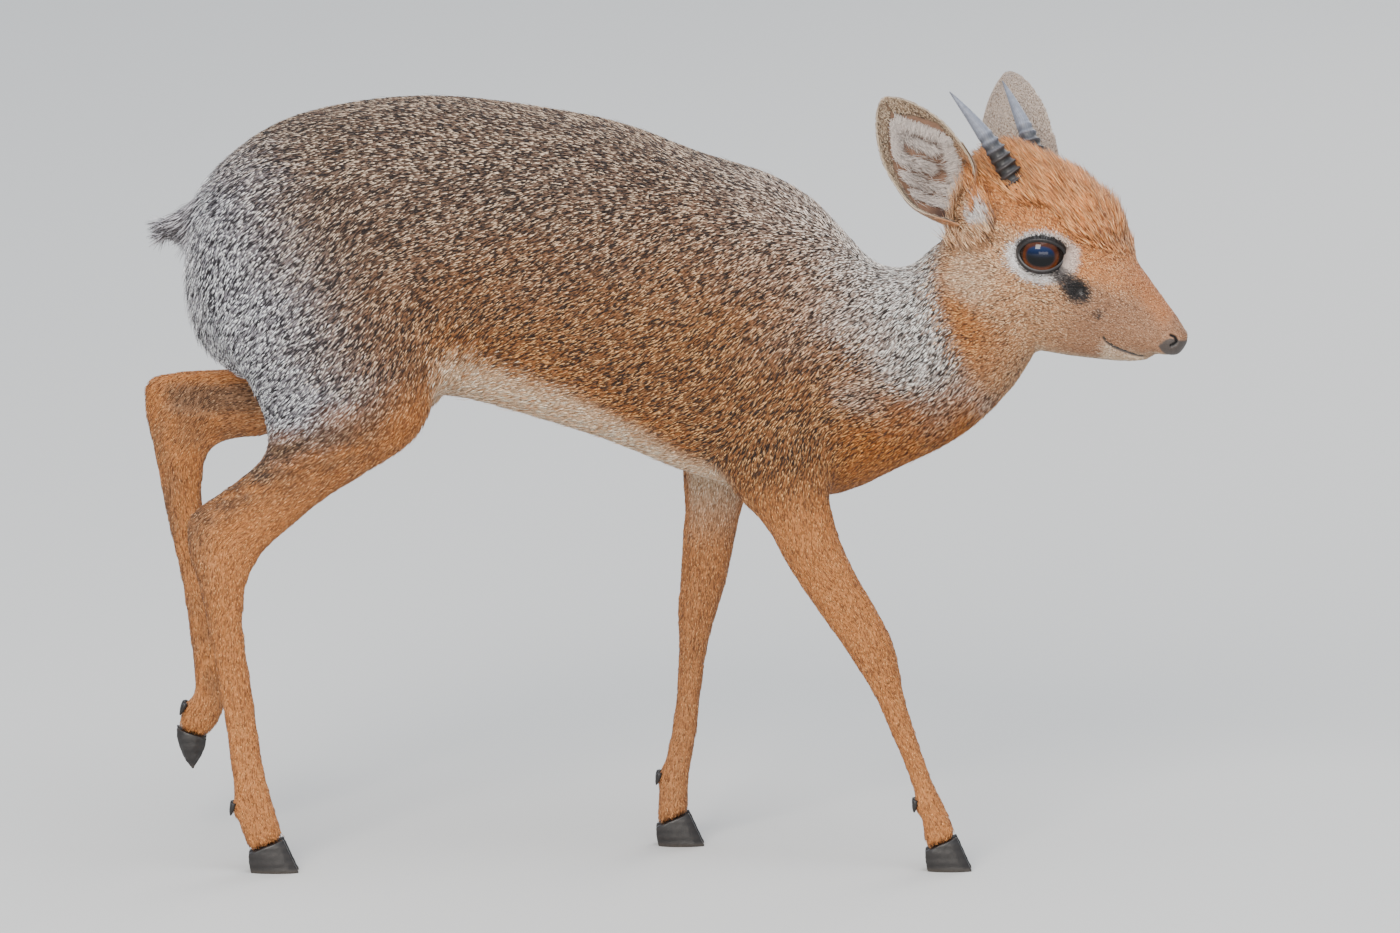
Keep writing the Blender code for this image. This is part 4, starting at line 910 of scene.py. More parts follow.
def tuft_mesh(roots, normals, lies, length, width, lift, colours, uv, bends=1):
    """Many closed three-sided tufts that leave the skin at their lift and curve over.

    Each starts a little inside the skin and has one more section for each bend.
    """
    count = len(roots)
    across = np.cross(lies, normals)
    stations = bends + 1
    rows, along, places = [], [], []
    for i in range(stations):
        t = i / stations
        rise = length * lift * (1.6 * t - 0.8 * t * t)
        centre = roots + lies * (length * t)[:, None] + normals * rise[:, None]
        if i == 0:
            centre = centre - normals * (0.35 * width)[:, None]
        half = width * (0.32 if i == 0 else 0.5 * (1 - 0.6 * t ** 2))
        rows += [centre - across * half[:, None], centre + normals * (half * 0.6)[:, None],
                 centre + across * half[:, None]]
        along += [t, t, t]
        places += [(-0.5 + 0.4 * t, t - 0.5), (0.0, t - 0.48), (0.5 - 0.4 * t, t - 0.5)]
    rows.append(roots + lies * length[:, None] + normals * (length * lift * 0.8)[:, None])
    along.append(1.0)
    places.append((0.0, 0.5))
    per = len(rows)
    one = [(0, 1, 2)]
    for first in range(0, 3 * bends, 3):
        for k, n in ((0, 1), (1, 2), (2, 0)):
            one += [(first + k, first + 3 + n, first + n), (first + k, first + 3 + k, first + 3 + n)]
    one += [(3 * bends + n, 3 * bends + k, per - 1) for k, n in ((0, 1), (1, 2), (2, 0))]
    triangles = (np.arange(count)[:, None, None] * per + np.array(one)).reshape(-1, 3)
    shift = draw.uniform(-0.1, 0.1, count)[:, None]
    spread = uv[:, None, :] + np.array(places) * PATCH
    base, end = (np.repeat(colour, per, axis=0) for colour in colours)
    return (np.stack(rows, axis=1).reshape(-1, 3), triangles, base, end,
            (np.array(along) + shift).ravel(), spread.reshape(-1, 2))


def coat_piece(name, parts, material, slot):
    """Join several sets of tufts into one object."""
    points, triangles, bases, ends, alongs, flats = zip(*parts)
    starts = np.cumsum([0] + [len(some) for some in points])
    triangles = np.vstack([some + start for some, start in zip(triangles, starts)])
    obj = fast_object(name, np.vstack(points), triangles)
    paint_points(obj, np.vstack(bases))
    paint_points(obj, np.vstack(ends), "tip")
    mark_points(obj, "along", np.hstack(alongs))
    flat = np.clip(np.vstack(flats), 0.0, 1.0)
    set_uv(obj, flat[triangles.ravel()])
    smooth_shading(obj)
    return place(obj, material, slot)


def scatter(points, triangles, density):
    """Evenly spread random places on triangles, by each one's density per square metre."""
    a, b, c = (points[triangles[:, k]] for k in range(3))
    area = np.linalg.norm(np.cross(b - a, c - a), axis=1) / 2
    heap = np.cumsum(area * density)
    wanted = int(heap[-1])
    marks = (np.arange(wanted) + draw.uniform(0, 1, wanted)) * heap[-1] / wanted
    face = np.minimum(np.searchsorted(heap, marks), len(triangles) - 1)
    u, v = draw.uniform(0, 1, (2, wanted))
    flip = u + v > 1
    u, v = np.where(flip, 1 - u, u), np.where(flip, 1 - v, v)
    return face, np.stack([1 - u - v, u, v], axis=1)


def hair_colours(coat, shine=0.12):
    """Base and end colours for each tuft: some end pale and some dark."""
    count = len(coat)
    mean, pale, dark = coat[:, 0:3], coat[:, 3:6], coat[:, 6:9]
    lot = draw.uniform(0, 1, count)
    is_pale = (lot < coat[:, 9])[:, None]
    is_dark = (lot > 1 - coat[:, 10])[:, None]
    light = draw.uniform(1 - shine, 1 + shine, count)[:, None]
    end = np.where(is_pale, pale, np.where(is_dark, dark, mean)) * light
    base = np.where(is_pale, 0.35 * mean + 0.65 * dark, np.where(is_dark, dark, 0.7 * mean + 0.3 * dark))
    return base, np.clip(end, 0, 1)


def coat_sizes(points):
    """Length, width, lift and density of the coat at each point."""
    local = to_head(points)
    head, legs = head_share(points), leg_share(points)
    lx, lz = local[:, 0], local[:, 2]
    rows = np.tile(np.array(HAIR_SIZES["trunk"]), (len(points), 1))

    def over(name, weight):
        nonlocal rows
        rows = mix(rows, np.array(HAIR_SIZES[name]), np.clip(weight, 0, 1))

    line = belly_line(points[:, 0])
    over("neck", ramp(points[:, 0], 0.05, 0.11))
    over("belly", fall(points[:, 2], line - 0.01, line) * ramp(points[:, 0], -0.13, -0.11))
    over("rear", fall(points[:, 0], -0.256, -0.225))
    over("leg", legs)
    over("foot", legs * fall(points[:, 2], 0.05, 0.12))
    over("head", head)
    over("face", head * ramp(lx, 0.005, 0.035))
    over("muzzle", head * ramp(lx, 0.055, 0.075))
    for side in SIDES.values():
        outside, reach, _, _ = almond_distance(points, side)
        over("eye", head * fall(outside, 0.004, 0.010) * (reach < 0.026) * (local[:, 1] * side > 0))
    bare = leather(points)
    crest = head * ramp(lz, 0.018, 0.026) * fall(lx, 0.032, 0.046) * (np.abs(local[:, 1]) < 0.020)
    rows[:, 3] *= fall(bare, 0.2, 0.6) * (1 - 0.7 * crest)
    return rows


def grow(surface, density):
    """Roots, normals, lies, flat places and zones of hairs spread over the skin."""
    face, weights = scatter(surface.points, surface.triangles, density)
    corners = surface.triangles[face]
    roots = np.einsum("ij,ijk->ik", weights, surface.points[corners])
    normal = unit(np.einsum("ij,ijk->ik", weights, surface.normals[corners]))
    uv = np.einsum("ij,ijk->ik", weights, surface.flat.reshape(-1, 3, 2)[face])
    lies = lie_of(roots, normal)
    wild = 0.12 - 0.04 * leg_share(roots)
    sway = ripple(roots, 0.012, 71) * 0.10 + draw.normal(0, 1, len(roots)) * wild
    lies = unit(lies + np.cross(lies, normal) * sway[:, None])
    return roots, normal, lies, uv, surface.zones[face]


def make_coat(surface, material):
    """The short coat, in pieces by zone, with longer hairs at the rear fringe."""
    centres = surface.centres
    density = coat_sizes(centres)[:, 3]
    for side in SIDES.values():
        outside, reach, _, _ = almond_distance(centres, side)
        density = np.where((outside < 0.0022) & (reach < EYE_RADIUS + 0.005), 0.0, density)
        density = np.where(gap_to(centres, from_head(gland_place(side))) < 0.0022, 0.0, density)
    mouth = surface.mouth[surface.triangles].min(axis=1)
    nostril = surface.nostril[surface.triangles].min(axis=1)
    density = np.where((mouth < 0.0013) | (nostril < 0.0016), 0.0, density)
    roots, normal, lies, uv, zone = grow(surface, density)
    count = len(roots)
    size = coat_sizes(roots)
    length = size[:, 0] * draw.uniform(0.75, 1.25, count)
    width = size[:, 1] * draw.uniform(0.75, 1.25, count)
    lift = size[:, 2] * draw.uniform(0.5, 1.5, count)
    legs, head = leg_share(roots), head_share(roots)
    # neighbouring hairs take their colour from a little way off, which softens every edge
    blur = 0.0045 * (1 - head) * (1 - legs) * ramp(roots[:, 2], 0.250, 0.290) + 0.0010
    coat = markings(roots + draw.normal(0, 1, (count, 3)) * blur[:, None], normal)
    colours = hair_colours(coat)
    fringe = fall(roots[:, 0], -0.250, -0.235) * (1 - legs) * 0.35
    fringe = np.maximum(fringe, 0.02 * (1 - legs) * (1 - head))
    bent = draw.uniform(0, 1, count) < fringe
    length = np.where(bent, length * 1.7, length)
    lift = np.where(bent, lift * 1.3, lift)
    width = np.where(bent, width * 0.7, width)
    groups = {}
    for number, name in enumerate(ZONES):
        here = zone == number
        side = roots[:, 1] > MIDDLE_Y if name != "head" else to_head(roots)[:, 1] > 0
        if name in ("head", "neck", "trunk"):
            groups[name + "_right"] = here & ~side
            groups[name + "_left"] = here & side
        elif name != "tail":
            groups[name] = here
    for name, chosen in groups.items():
        picks = np.nonzero(chosen)[0]
        cost = np.where(bent[picks], 10, 4).sum()
        pieces = int(cost // PIECE_LIMIT) + 1
        order = np.argsort(roots[picks, 0], kind="stable")
        for k, part in enumerate(np.array_split(picks[order], pieces)):
            sets = []
            for kind, maker in ((False, blade_mesh), (True, tuft_mesh)):
                i = part[bent[part] == kind]
                if len(i):
                    sets.append(maker(roots[i], normal[i], lies[i], length[i], width[i], lift[i],
                                      [c[i] for c in colours], uv[i]))
            label = "coat_" + name + ("_" + str(k + 1) if pieces > 1 else "")
            coat_piece(label, sets, material, slot_of(name))


def slot_of(zone):
    """The material slot of a zone's coat."""
    if zone.startswith("head"):
        return "rufous_coat"
    if zone.startswith(("neck", "trunk")):
        return "grey_coat"
    return "coat"


# Materials

def new_material(name, roughness, **values):
    """A material, its nodes and its shader, with the shader's inputs set by name."""
    made = bpy.data.materials.new(name)
    made.use_nodes = True
    shader = made.node_tree.nodes["Principled BSDF"]
    shader.inputs["Roughness"].default_value = roughness
    for key, value in values.items():
        shader.inputs[key.replace("_", " ")].default_value = value
    return made, made.node_tree, shader


def add_node(tree, kind, **values):
    node = tree.nodes.new(kind)
    for key, value in values.items():
        if hasattr(node, key):
            setattr(node, key, value)
        else:
            node.inputs[key].default_value = value
    return node


def map_range(tree, value, low, high, to_low=0.0, to_high=1.0, kind="LINEAR"):
    """The output of a node that takes low to high over to another range."""
    node = add_node(tree, "ShaderNodeMapRange", interpolation_type=kind)
    for key, amount in (("From Min", low), ("From Max", high), ("To Min", to_low), ("To Max", to_high)):
        node.inputs[key].default_value = amount
    tree.links.new(value, node.inputs["Value"])
    return node.outputs["Result"]


def tint_material(name, roughness, grain, grain_depth, fleck, bump, distance):
    """Colour from the markings, with fine flecks and a fine bump."""
    made, tree, shader = new_material(name, roughness)
    link = tree.links.new
    tint = add_node(tree, "ShaderNodeVertexColor", layer_name="tint")
    where = add_node(tree, "ShaderNodeTexCoord")
    flecks = add_node(tree, "ShaderNodeTexNoise", Scale=fleck, Detail=3.0)
    link(where.outputs["Object"], flecks.inputs["Vector"])
    level = map_range(tree, flecks.outputs["Fac"], 0.3, 0.7, 1 - grain_depth, 1 + grain_depth)
    scale = add_node(tree, "ShaderNodeVectorMath", operation="SCALE")
    link(tint.outputs["Color"], scale.inputs[0])
    link(level, scale.inputs["Scale"])
    link(scale.outputs["Vector"], shader.inputs["Base Color"])
    rough = add_node(tree, "ShaderNodeTexNoise", Scale=grain, Detail=2.0)
    link(where.outputs["Object"], rough.inputs["Vector"])
    raise_up = add_node(tree, "ShaderNodeBump", Strength=bump, Distance=distance)
    link(rough.outputs["Fac"], raise_up.inputs["Height"])
    link(raise_up.outputs["Normal"], shader.inputs["Normal"])
    return made


def fur_material():
    """Hair that changes from its base colour to its end colour, and darkens at the tip."""
    made = tint_material("fur", 0.62, 3000.0, 0.10, 900.0, 0.10, 0.0002)
    tree = made.node_tree
    link = tree.links.new
    shader = tree.nodes["Principled BSDF"]
    scale = shader.inputs["Base Color"].links[0].from_node
    tint = scale.inputs[0].links[0].from_node
    tip = add_node(tree, "ShaderNodeVertexColor", layer_name="tip")
    along = add_node(tree, "ShaderNodeAttribute", attribute_name="along")
    step = map_range(tree, along.outputs["Fac"], 0.34, 0.50, kind="SMOOTHSTEP")
    blend = add_node(tree, "ShaderNodeMix", data_type="RGBA")
    factor, first, second = blend.inputs[0], blend.inputs[6], blend.inputs[7]
    link(step, factor)
    link(tint.outputs["Color"], first)
    link(tip.outputs["Color"], second)
    end = map_range(tree, along.outputs["Fac"], 0.80, 1.05, 1.0, 0.55, kind="SMOOTHSTEP")
    darker = add_node(tree, "ShaderNodeVectorMath", operation="SCALE")
    link(blend.outputs[2], darker.inputs[0])
    link(end, darker.inputs["Scale"])
    link(darker.outputs["Vector"], scale.inputs[0])
    return made


def skin_material():
    """Short fur as colour and bump, and leather where the nose and lips are bare."""
    made = tint_material("skin_coat", 0.75, 2600.0, 0.22, 1400.0, 0.5, 0.0003)
    tree = made.node_tree
    shader = tree.nodes["Principled BSDF"]
    link = tree.links.new
    mask = add_node(tree, "ShaderNodeAttribute", attribute_name="leather")
    gloss = map_range(tree, mask.outputs["Fac"], 0.0, 1.0, 0.78, 0.48)
    wet = add_node(tree, "ShaderNodeAttribute", attribute_name="wet")
    slick = add_node(tree, "ShaderNodeMath", operation="MULTIPLY_ADD")
    slick.inputs[1].default_value = -0.6
    link(wet.outputs["Fac"], slick.inputs[0])
    link(gloss, slick.inputs[2])
    link(slick.outputs["Value"], shader.inputs["Roughness"])
    return made


# Eyes, lids and lashes

def make_eye(side_name):
    """The eyeball: a wide dark pupil, a streaked brown iris and a dark border under a clear dome."""
    side = SIDES[side_name]
    centre, out, long, up = EYES[side]
    rings, around = 90, 128
    angles = np.pi * np.arange(1, rings) / rings
    turns = 2 * np.pi * np.arange(around) / around
    angle, turn = (grid.ravel() for grid in np.meshgrid(angles, turns, indexing="ij"))
    angle = np.append(angle, [0.0, np.pi])
    turn = np.append(turn, [0.0, 0.0])
    way = (np.outer(np.cos(angle), out) + np.outer(np.sin(angle) * np.cos(turn), long)
           + np.outer(np.sin(angle) * np.sin(turn), up))
    verts = centre + way * (EYE_RADIUS - 0.0001 + 0.0004 * np.exp(-(angle / 0.62) ** 4))[:, None]
    first, last = len(verts) - 2, len(verts) - 1
    faces = [(a, d, c, b) for a, b, c, d in tube_faces(rings - 1, around)]
    for k in range(around):
        n = (k + 1) % around
        faces.append((first, k, n))
        faces.append((last, (rings - 2) * around + n, (rings - 2) * around + k))
    eye = new_object("eyeball_" + side_name, verts, faces)
    face_out(eye)
    wide, tall = angle * np.cos(turn), angle * np.sin(turn)
    # the pupil is a lying oval with blunt ends
    pupil = (np.abs(wide / 0.56) ** 2.4 + np.abs((tall - 0.03) / 0.40) ** 2.4) ** (1 / 2.4)
    streak = 0.5 + 0.5 * np.sin(turn * 46 + 3 * np.sin(turn * 9)) * np.cos(turn * 17)
    iris = srgb(94, 47, 22)[None] * (0.55 + 0.55 * streak)[:, None]
    # painted shade: the iris is painted darker towards its top, under the upper lid
    iris = iris * (1 - 0.45 * ramp(tall, -0.1, 0.35))[:, None]
    iris = mix(iris, srgb(58, 27, 13), fall(pupil, 1.0, 1.25))
    # painted reflection: the pupil runs from near black below to dark blue above, the sky mirrored on its
    # upper half
    pupil_with_sky_reflection = srgb(4, 5, 8) + (srgb(24, 36, 66) - srgb(4, 5, 8)) * ramp(tall, -0.06, 0.34)[:, None]
    colour = iris + (pupil_with_sky_reflection - iris) * fall(pupil, 0.90, 1.06)[:, None]
    colour = mix(colour, srgb(16, 11, 10), ramp(angle, 0.66, 0.80))
    paint_points(eye, colour)
    smooth_shading(eye)
    shine, tree, shader = new_material("eye_" + side_name, 0.12, Specular_IOR_Level=0.05,
                                       Coat_Weight=0.42, Coat_Roughness=0.02)
    tint = add_node(tree, "ShaderNodeVertexColor", layer_name="tint")
    tree.links.new(tint.outputs["Color"], shader.inputs["Base Color"])
    return place(eye, shine, "eye", "eye_" + side_name)


def lid_point(side, turn, offset, height):
    """A place round the lids: offset outside the opening, height above the eyeball."""
    centre, out, long, up = EYES[side]
    length = LID_HALF_LENGTH * (1.08 if math.cos(turn) > 0 else 1.0)
    tall = LID_HALF_HEIGHT * (1.0 if math.sin(turn) > 0 else 0.9)
    corner = abs(math.cos(turn)) ** 6
    x = math.cos(turn) * (length + offset + 0.0003 * corner)
    y = math.sin(turn) * (tall * (1 - 0.18 * corner) + offset)
    angle, spread = math.hypot(x, y) / EYE_RADIUS, max(math.hypot(x, y), 1e-9)
    way = out * math.cos(angle) + (long * x + up * y) * (math.sin(angle) / spread)
    return centre + way * (EYE_RADIUS + height), way


def make_lids(side_name, material):
    """The bare black rims of an eye's lids, thicker above, from the eyeball to under the coat."""
    side = SIDES[side_name]
    profile = spline([(-0.0005, -0.0008), (-0.0003, 0.0001), (0.0001, 0.0007), (0.0006, 0.0010),
                      (0.0012, 0.0008), (0.0018, 0.0009), (0.0025, 0.0007), (0.0030, 0.0001),
                      (0.0033, -0.0014)], 5)
    around = 240
    verts, shade = [], []
    for row, (offset, height) in enumerate(profile):
        for k in range(around):
            turn = 2 * math.pi * k / around
            above = max(0.0, math.sin(turn))
            crease = 0.00022 * above * math.exp(-((offset - 0.0019) / 0.00035) ** 2)
            wrinkle = 0.00005 * math.sin(turn * 61 + 5 * math.sin(turn * 7)) * (offset > 0.0003)
            rise = height * (1 + 0.45 * above) - crease + wrinkle
            verts.append(lid_point(side, turn, offset * (1 + 0.25 * above), rise)[0])
            shade.append(1.0 + 0.25 * math.sin(turn * 5 + row * 0.3))
    lids = new_object("lids_" + side_name, verts, tube_faces(len(profile), around, closed=True))
    face_out(lids)
    paint_points(lids, srgb(25, 21, 21)[None] * np.array(shade)[:, None])
    smooth_shading(lids)
    return place(lids, material, "eye")


def make_lashes(side_name, material):
    """Short black lashes along the upper lid and fewer along the lower."""
    side = SIDES[side_name]
    roots, normals, lies, uv = [], [], [], []
    for k in range(LASHES):
        turn = draw.uniform(0.75, 2.7) if k < UPPER_LASHES else draw.uniform(3.6, 5.6)
        root, way = lid_point(side, turn, 0.0006, 0.0008)
        outer = lid_point(side, turn, 0.0016, 0.0008)[0]
        sweep = unit(np.array(outer - root)) + 0.25 * draw.normal(0, 1, 3)
        roots.append(root)
        normals.append(way)
        lies.append(unit(sweep - way * (sweep @ way)))
        uv.append((0.5 + 0.4 * math.cos(turn), 0.5 + 0.4 * math.sin(turn)))
    count = len(roots)
    long = np.where(np.arange(count) < UPPER_LASHES, 0.0026, 0.0014) * draw.uniform(0.7, 1.1, count)
    black = np.tile(srgb(20, 17, 17), (count, 1))
    sets = [tuft_mesh(np.array(roots), np.array(normals), np.array(lies), long, np.full(count, 0.00024),
                      draw.uniform(0.3, 0.9, count), (black, black), np.array(uv), 2)]
    return coat_piece("lashes_" + side_name, sets, material, "eye")


# Horns, hooves and dewclaws

def make_horn(side_name, material):
    """A horn with uneven rings over its lower half, painted shade between them and painted highlights on
    their crowns, and a smooth point.
    """
    side = SIDES[side_name]
    root = np.array([-0.0325, side * 0.0142, 0.0220])
    way = unit(np.array([-0.0500, side * 0.0138, 0.0290]))
    bend = np.array([0.28, 0.0, 0.96])
    bend = unit(bend - bend @ way * way)
    across = np.cross(way, bend)
    rings, around = 200, 56
    t = np.linspace(0, 1, rings + 1)[:, None]
    turn = 2 * np.pi * np.arange(around)[None] / around
    swell = np.clip(1 - (t / 0.60) ** 6, 0, 1)
    # rings crowd towards the base, tilt across the horn and stand out most in front
    phase = (2 * np.pi * HORN_RINGS * (t / 0.57) ** 0.88 + 0.5 * np.cos(turn - 0.6)
             + 0.25 * np.sin(2 * turn + 9 * t))
    wave = np.cos(phase + 0.55 * np.sin(phase))
    ring = np.where(wave > 0, np.abs(wave) ** 0.6, -0.75 * np.abs(wave) ** 1.2)
    front = 0.80 + 0.20 * np.sin(turn)
    radius = HORN_RADIUS * (1 - t ** 1.5) ** 0.9 + 0.0003 + 0.00092 * ring * swell * front * (1 - 0.45 * t)
    grain = np.sin(turn * 19 + 3 * np.sin(t * 23)) + 0.7 * np.sin(turn * 31 - 2 * np.sin(t * 37))
    radius = radius + 0.00005 * grain * (0.3 + 0.7 * swell) * (1 - t)
    centre = root + way * ((HORN_LENGTH + HORN_ROOT) * t - HORN_ROOT) + bend * (0.009 * (t - t * t))
    verts = (centre[:, None] + across * (radius * np.cos(turn))[..., None]
             + bend * (radius * np.sin(turn))[..., None]).reshape(-1, 3)
    # the smooth part's light blue-grey is partly the horn's own grey and partly a painted bluish highlight
    dark, smooth = srgb(40, 35, 34), srgb(116, 120, 132)
    tint = dark + (smooth - dark) * (0.85 * ramp(t, 0.34, 0.62) * (1 + 0.10 * grain))[..., None]
    # painted shade between the rings and painted highlights on their crowns
    ring_shade_and_highlight = 0.40 * np.clip(ring, 0, 1) - 0.95 * np.clip(-ring, 0, 0.8)
    tint = tint * (1.0 + swell * ring_shade_and_highlight + 0.06 * grain)[..., None]
    tint = tint * (1 - 0.45 * ramp(t, 0.90, 1.0))[..., None]
    verts = np.vstack([verts, root - way * HORN_ROOT, root + way * (HORN_LENGTH + 0.0004)])
    tint = np.vstack([tint.reshape(-1, 3), dark, dark])
    faces = tube_faces(rings + 1, around)
    base, end = len(verts) - 2, len(verts) - 1
    for k in range(around):
        n = (k + 1) % around
        faces.append((base, n, k))
        faces.append((end, rings * around + k, rings * around + n))
    horn = new_object("ringed_horn_" + side_name, from_head(verts), faces)
    paint_points(horn, np.clip(tint, 0.002, 1))
    smooth_shading(horn)
    face_out(horn)
    return place(horn, material, "horn", "horn_" + side_name)


def make_hooves(material):
    """The part's hooves with rounded edges and faint rings round their walls."""
    for kind, side in LEGS:
        for half in ("outer", "inner"):
            name = "hoof_" + kind + "_" + side + "_" + half
            low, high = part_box(name)
            work = bmesh.new()
            work.from_mesh(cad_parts[name].data)
            bmesh.ops.remove_doubles(work, verts=work.verts, dist=1e-6)
            mesh = bpy.data.meshes.new("toe")
            work.to_mesh(mesh)
            work.free()
            hoof = add_object("toe_" + kind + "_" + side + "_" + half, mesh)
            round_off = hoof.modifiers.new("round", "BEVEL")
            round_off.width = 0.0006
            round_off.segments = 2
            round_off.limit_method = "ANGLE"
            fine = hoof.modifiers.new("fine", "SUBSURF")
            fine.levels = fine.render_levels = 2
            bake(hoof)
            points, normals = read(hoof), read(hoof, "normal")
            height = (points[:, 2] - low.z) / (high.z - low.z)
            wall = np.sin(height * 26 + 0.6 * ripple(points, 0.004, 8)) * 0.00009
            points = points + normals * (wall + 0.00010 * ripple(points, 0.0025, 12))[:, None]
            points[:, 2] = np.maximum(points[:, 2], low.z)
            points[:, 2] = np.where(height < 0.03, low.z, points[:, 2])
            write(hoof, points)
            colour = np.tile(srgb(34, 31, 30), (len(points), 1)) * (1 + 0.25 * np.sin(height * 26))[:, None]
            colour = mix(colour, srgb(78, 70, 62), ramp(-height, -0.16, 0.0) * 0.5)
            paint_points(hoof, np.clip(colour, 0.002, 1))
            smooth_shading(hoof)
            place(hoof, material, "hoof", name)


# Middle of the two dewclaws behind each pastern: x, y from the middle plane, z, lean
DEWCLAWS = {
    ("hind", "right"): (-0.2310, -0.0371, 0.0350, 0.10),
    ("hind", "left"): (-0.2592, 0.0420, 0.0740, -0.35),
    ("fore", "right"): (0.1375, -0.0331, 0.0358, 0.35),
    ("fore", "left"): (-0.0012, 0.0331, 0.0372, 0.0),
}


def make_dewclaws(material):
    """Two small claws behind each pastern."""
    rings, around = 14, 20
    for (kind, side), (x, y, z, lean) in DEWCLAWS.items():
        for number, offset in enumerate((-0.0044, 0.0044)):
            verts = []
            for i in range(rings + 1):
                t = i / rings
                radius = 0.0022 * math.sqrt(max(0.0, 1 - (2 * t - 0.75) ** 2 / 1.6)) * (1 - 0.35 * t)
                radius *= 1 + 0.03 * math.sin(t * 30)
                if i in (0, rings):
                    radius = 0.0004
                down = 0.0034 - 0.0068 * t
                for k in range(around):
                    turn = 2 * math.pi * k / around
                    middle = x - 0.0012 - 0.0018 * t + lean * -down * 0.5
                    verts.append((middle + radius * 0.8 * math.cos(turn),
                                  y + MIDDLE_Y + offset + radius * 0.85 * math.sin(turn), z + down))
            faces = tube_faces(rings + 1, around)
            faces.append(tuple(range(around)))
            faces.append(tuple(range(rings * around, (rings + 1) * around))[::-1])
            claw = new_object("dewclaw_" + kind + "_" + side + "_" + str(number + 1), verts, faces)
            face_out(claw)
            paint_points(claw, np.tile(srgb(30, 27, 26), (len(verts), 1)))
            smooth_shading(claw)
            place(claw, material, "hoof")


# Ears

def ear_place(side_name, along, share, offset=0.0):
    """A point of the ear's middle sheet: along 0 to 1, share -1 to 1 across, offset outwards."""
    root, axis, facing = (np.array(v, float) for v in EARS[side_name])
    axis = unit(axis)
    facing = unit(facing - facing @ axis * axis)
    across = np.cross(axis, facing)
    rows = spline(EAR_ROWS, 12)
    wide = np.interp(along, rows[:, 0], rows[:, 1])
    curl = np.interp(along, rows[:, 0], rows[:, 2])
    radius = wide * EAR_WIDTH / 2 / np.sin(np.minimum(curl, math.pi / 2))
    bow = 0.006 * np.sin(math.pi * along)
    angle = curl * share
    reach = radius + offset
    return from_head(root + axis * (EAR_LENGTH * along)[..., None] - facing * bow[..., None]
                     + across * (reach * np.sin(angle))[..., None]
                     - facing * (reach * np.cos(angle) - radius * np.cos(curl))[..., None])


def make_ear(side_name, material):
    """A thin cup with folds inside it and a rim."""
    along_count, across_count = 90, 64
    along, share = np.meshgrid(np.linspace(0, 1, along_count), np.linspace(-1, 1, across_count),
                               indexing="ij")
    thick = 0.0011 * (1 - 0.55 * along) * (1 - 0.45 * np.abs(share) ** 3)
    folds = 0.0005 * (np.exp(-((share - 0.30) / 0.09) ** 2) + np.exp(-((share + 0.05) / 0.08) ** 2)
                      + np.exp(-((share + 0.42) / 0.09) ** 2)) * ramp(along, 0.02, 0.15)
    folds = folds * fall(along, 0.62, 0.85)
    outer = ear_place(side_name, along, share, thick * 0.5)
    inner = ear_place(side_name, along, share, -thick * 0.5 - folds)
    verts = np.vstack([outer.reshape(-1, 3), inner.reshape(-1, 3)])
    size = along_count * across_count
    faces = []
    for i in range(along_count - 1):
        for k in range(across_count - 1):
            a = i * across_count + k
            b = a + across_count
            faces.append((a, b, b + 1, a + 1))
            faces.append((a + size, a + 1 + size, b + 1 + size, b + size))
    edge = ([(0, k) for k in range(across_count)]
            + [(i, across_count - 1) for i in range(1, along_count)]
            + [(along_count - 1, k) for k in range(across_count - 2, -1, -1)]
            + [(i, 0) for i in range(along_count - 2, 0, -1)])
    loop = [i * across_count + k for i, k in edge]
    for a, b in zip(loop, loop[1:] + loop[:1]):
        faces.append((a, b, b + size, a + size))
    ear = new_object("cup_" + side_name, verts, faces)
    face_out(ear)
    flat_along, flat_share = along.ravel(), share.ravel()
    points = read(ear)
    rim = ramp(np.maximum(np.abs(flat_share), flat_along ** 3), 0.90, 0.98)
    noise = ripple(points, 0.004, 14)
    back = srgb(160, 142, 126)[None] * (1 + 0.06 * noise[:size])[:, None]
    back = mix(back, srgb(168, 118, 80), fall(flat_along, 0.05, 0.35))
    rim = rim * ramp(flat_along, 0.10, 0.28)
    back = mix(back, srgb(214, 196, 174), rim * 0.8)
    pink = srgb(134, 102, 82)[None] * (1 + 0.16 * noise[size:])[:, None]
    # painted shade: the inside of the cup is painted dark towards the root, where it lies deepest
    pink = mix(pink, srgb(62, 42, 36), fall(flat_along, 0.06, 0.22))
    brown = ear_rim_zone(flat_along, flat_share * -SIDES[side_name])
    pink = mix(pink, srgb(118, 98, 80), brown)
    pink = mix(pink, srgb(205, 186, 160), rim * 0.7)
    paint_points(ear, np.clip(np.vstack([back, pink]), 0, 1))
    smooth_shading(ear)
    return place(ear, material, "rufous_coat", "ear_" + side_name)


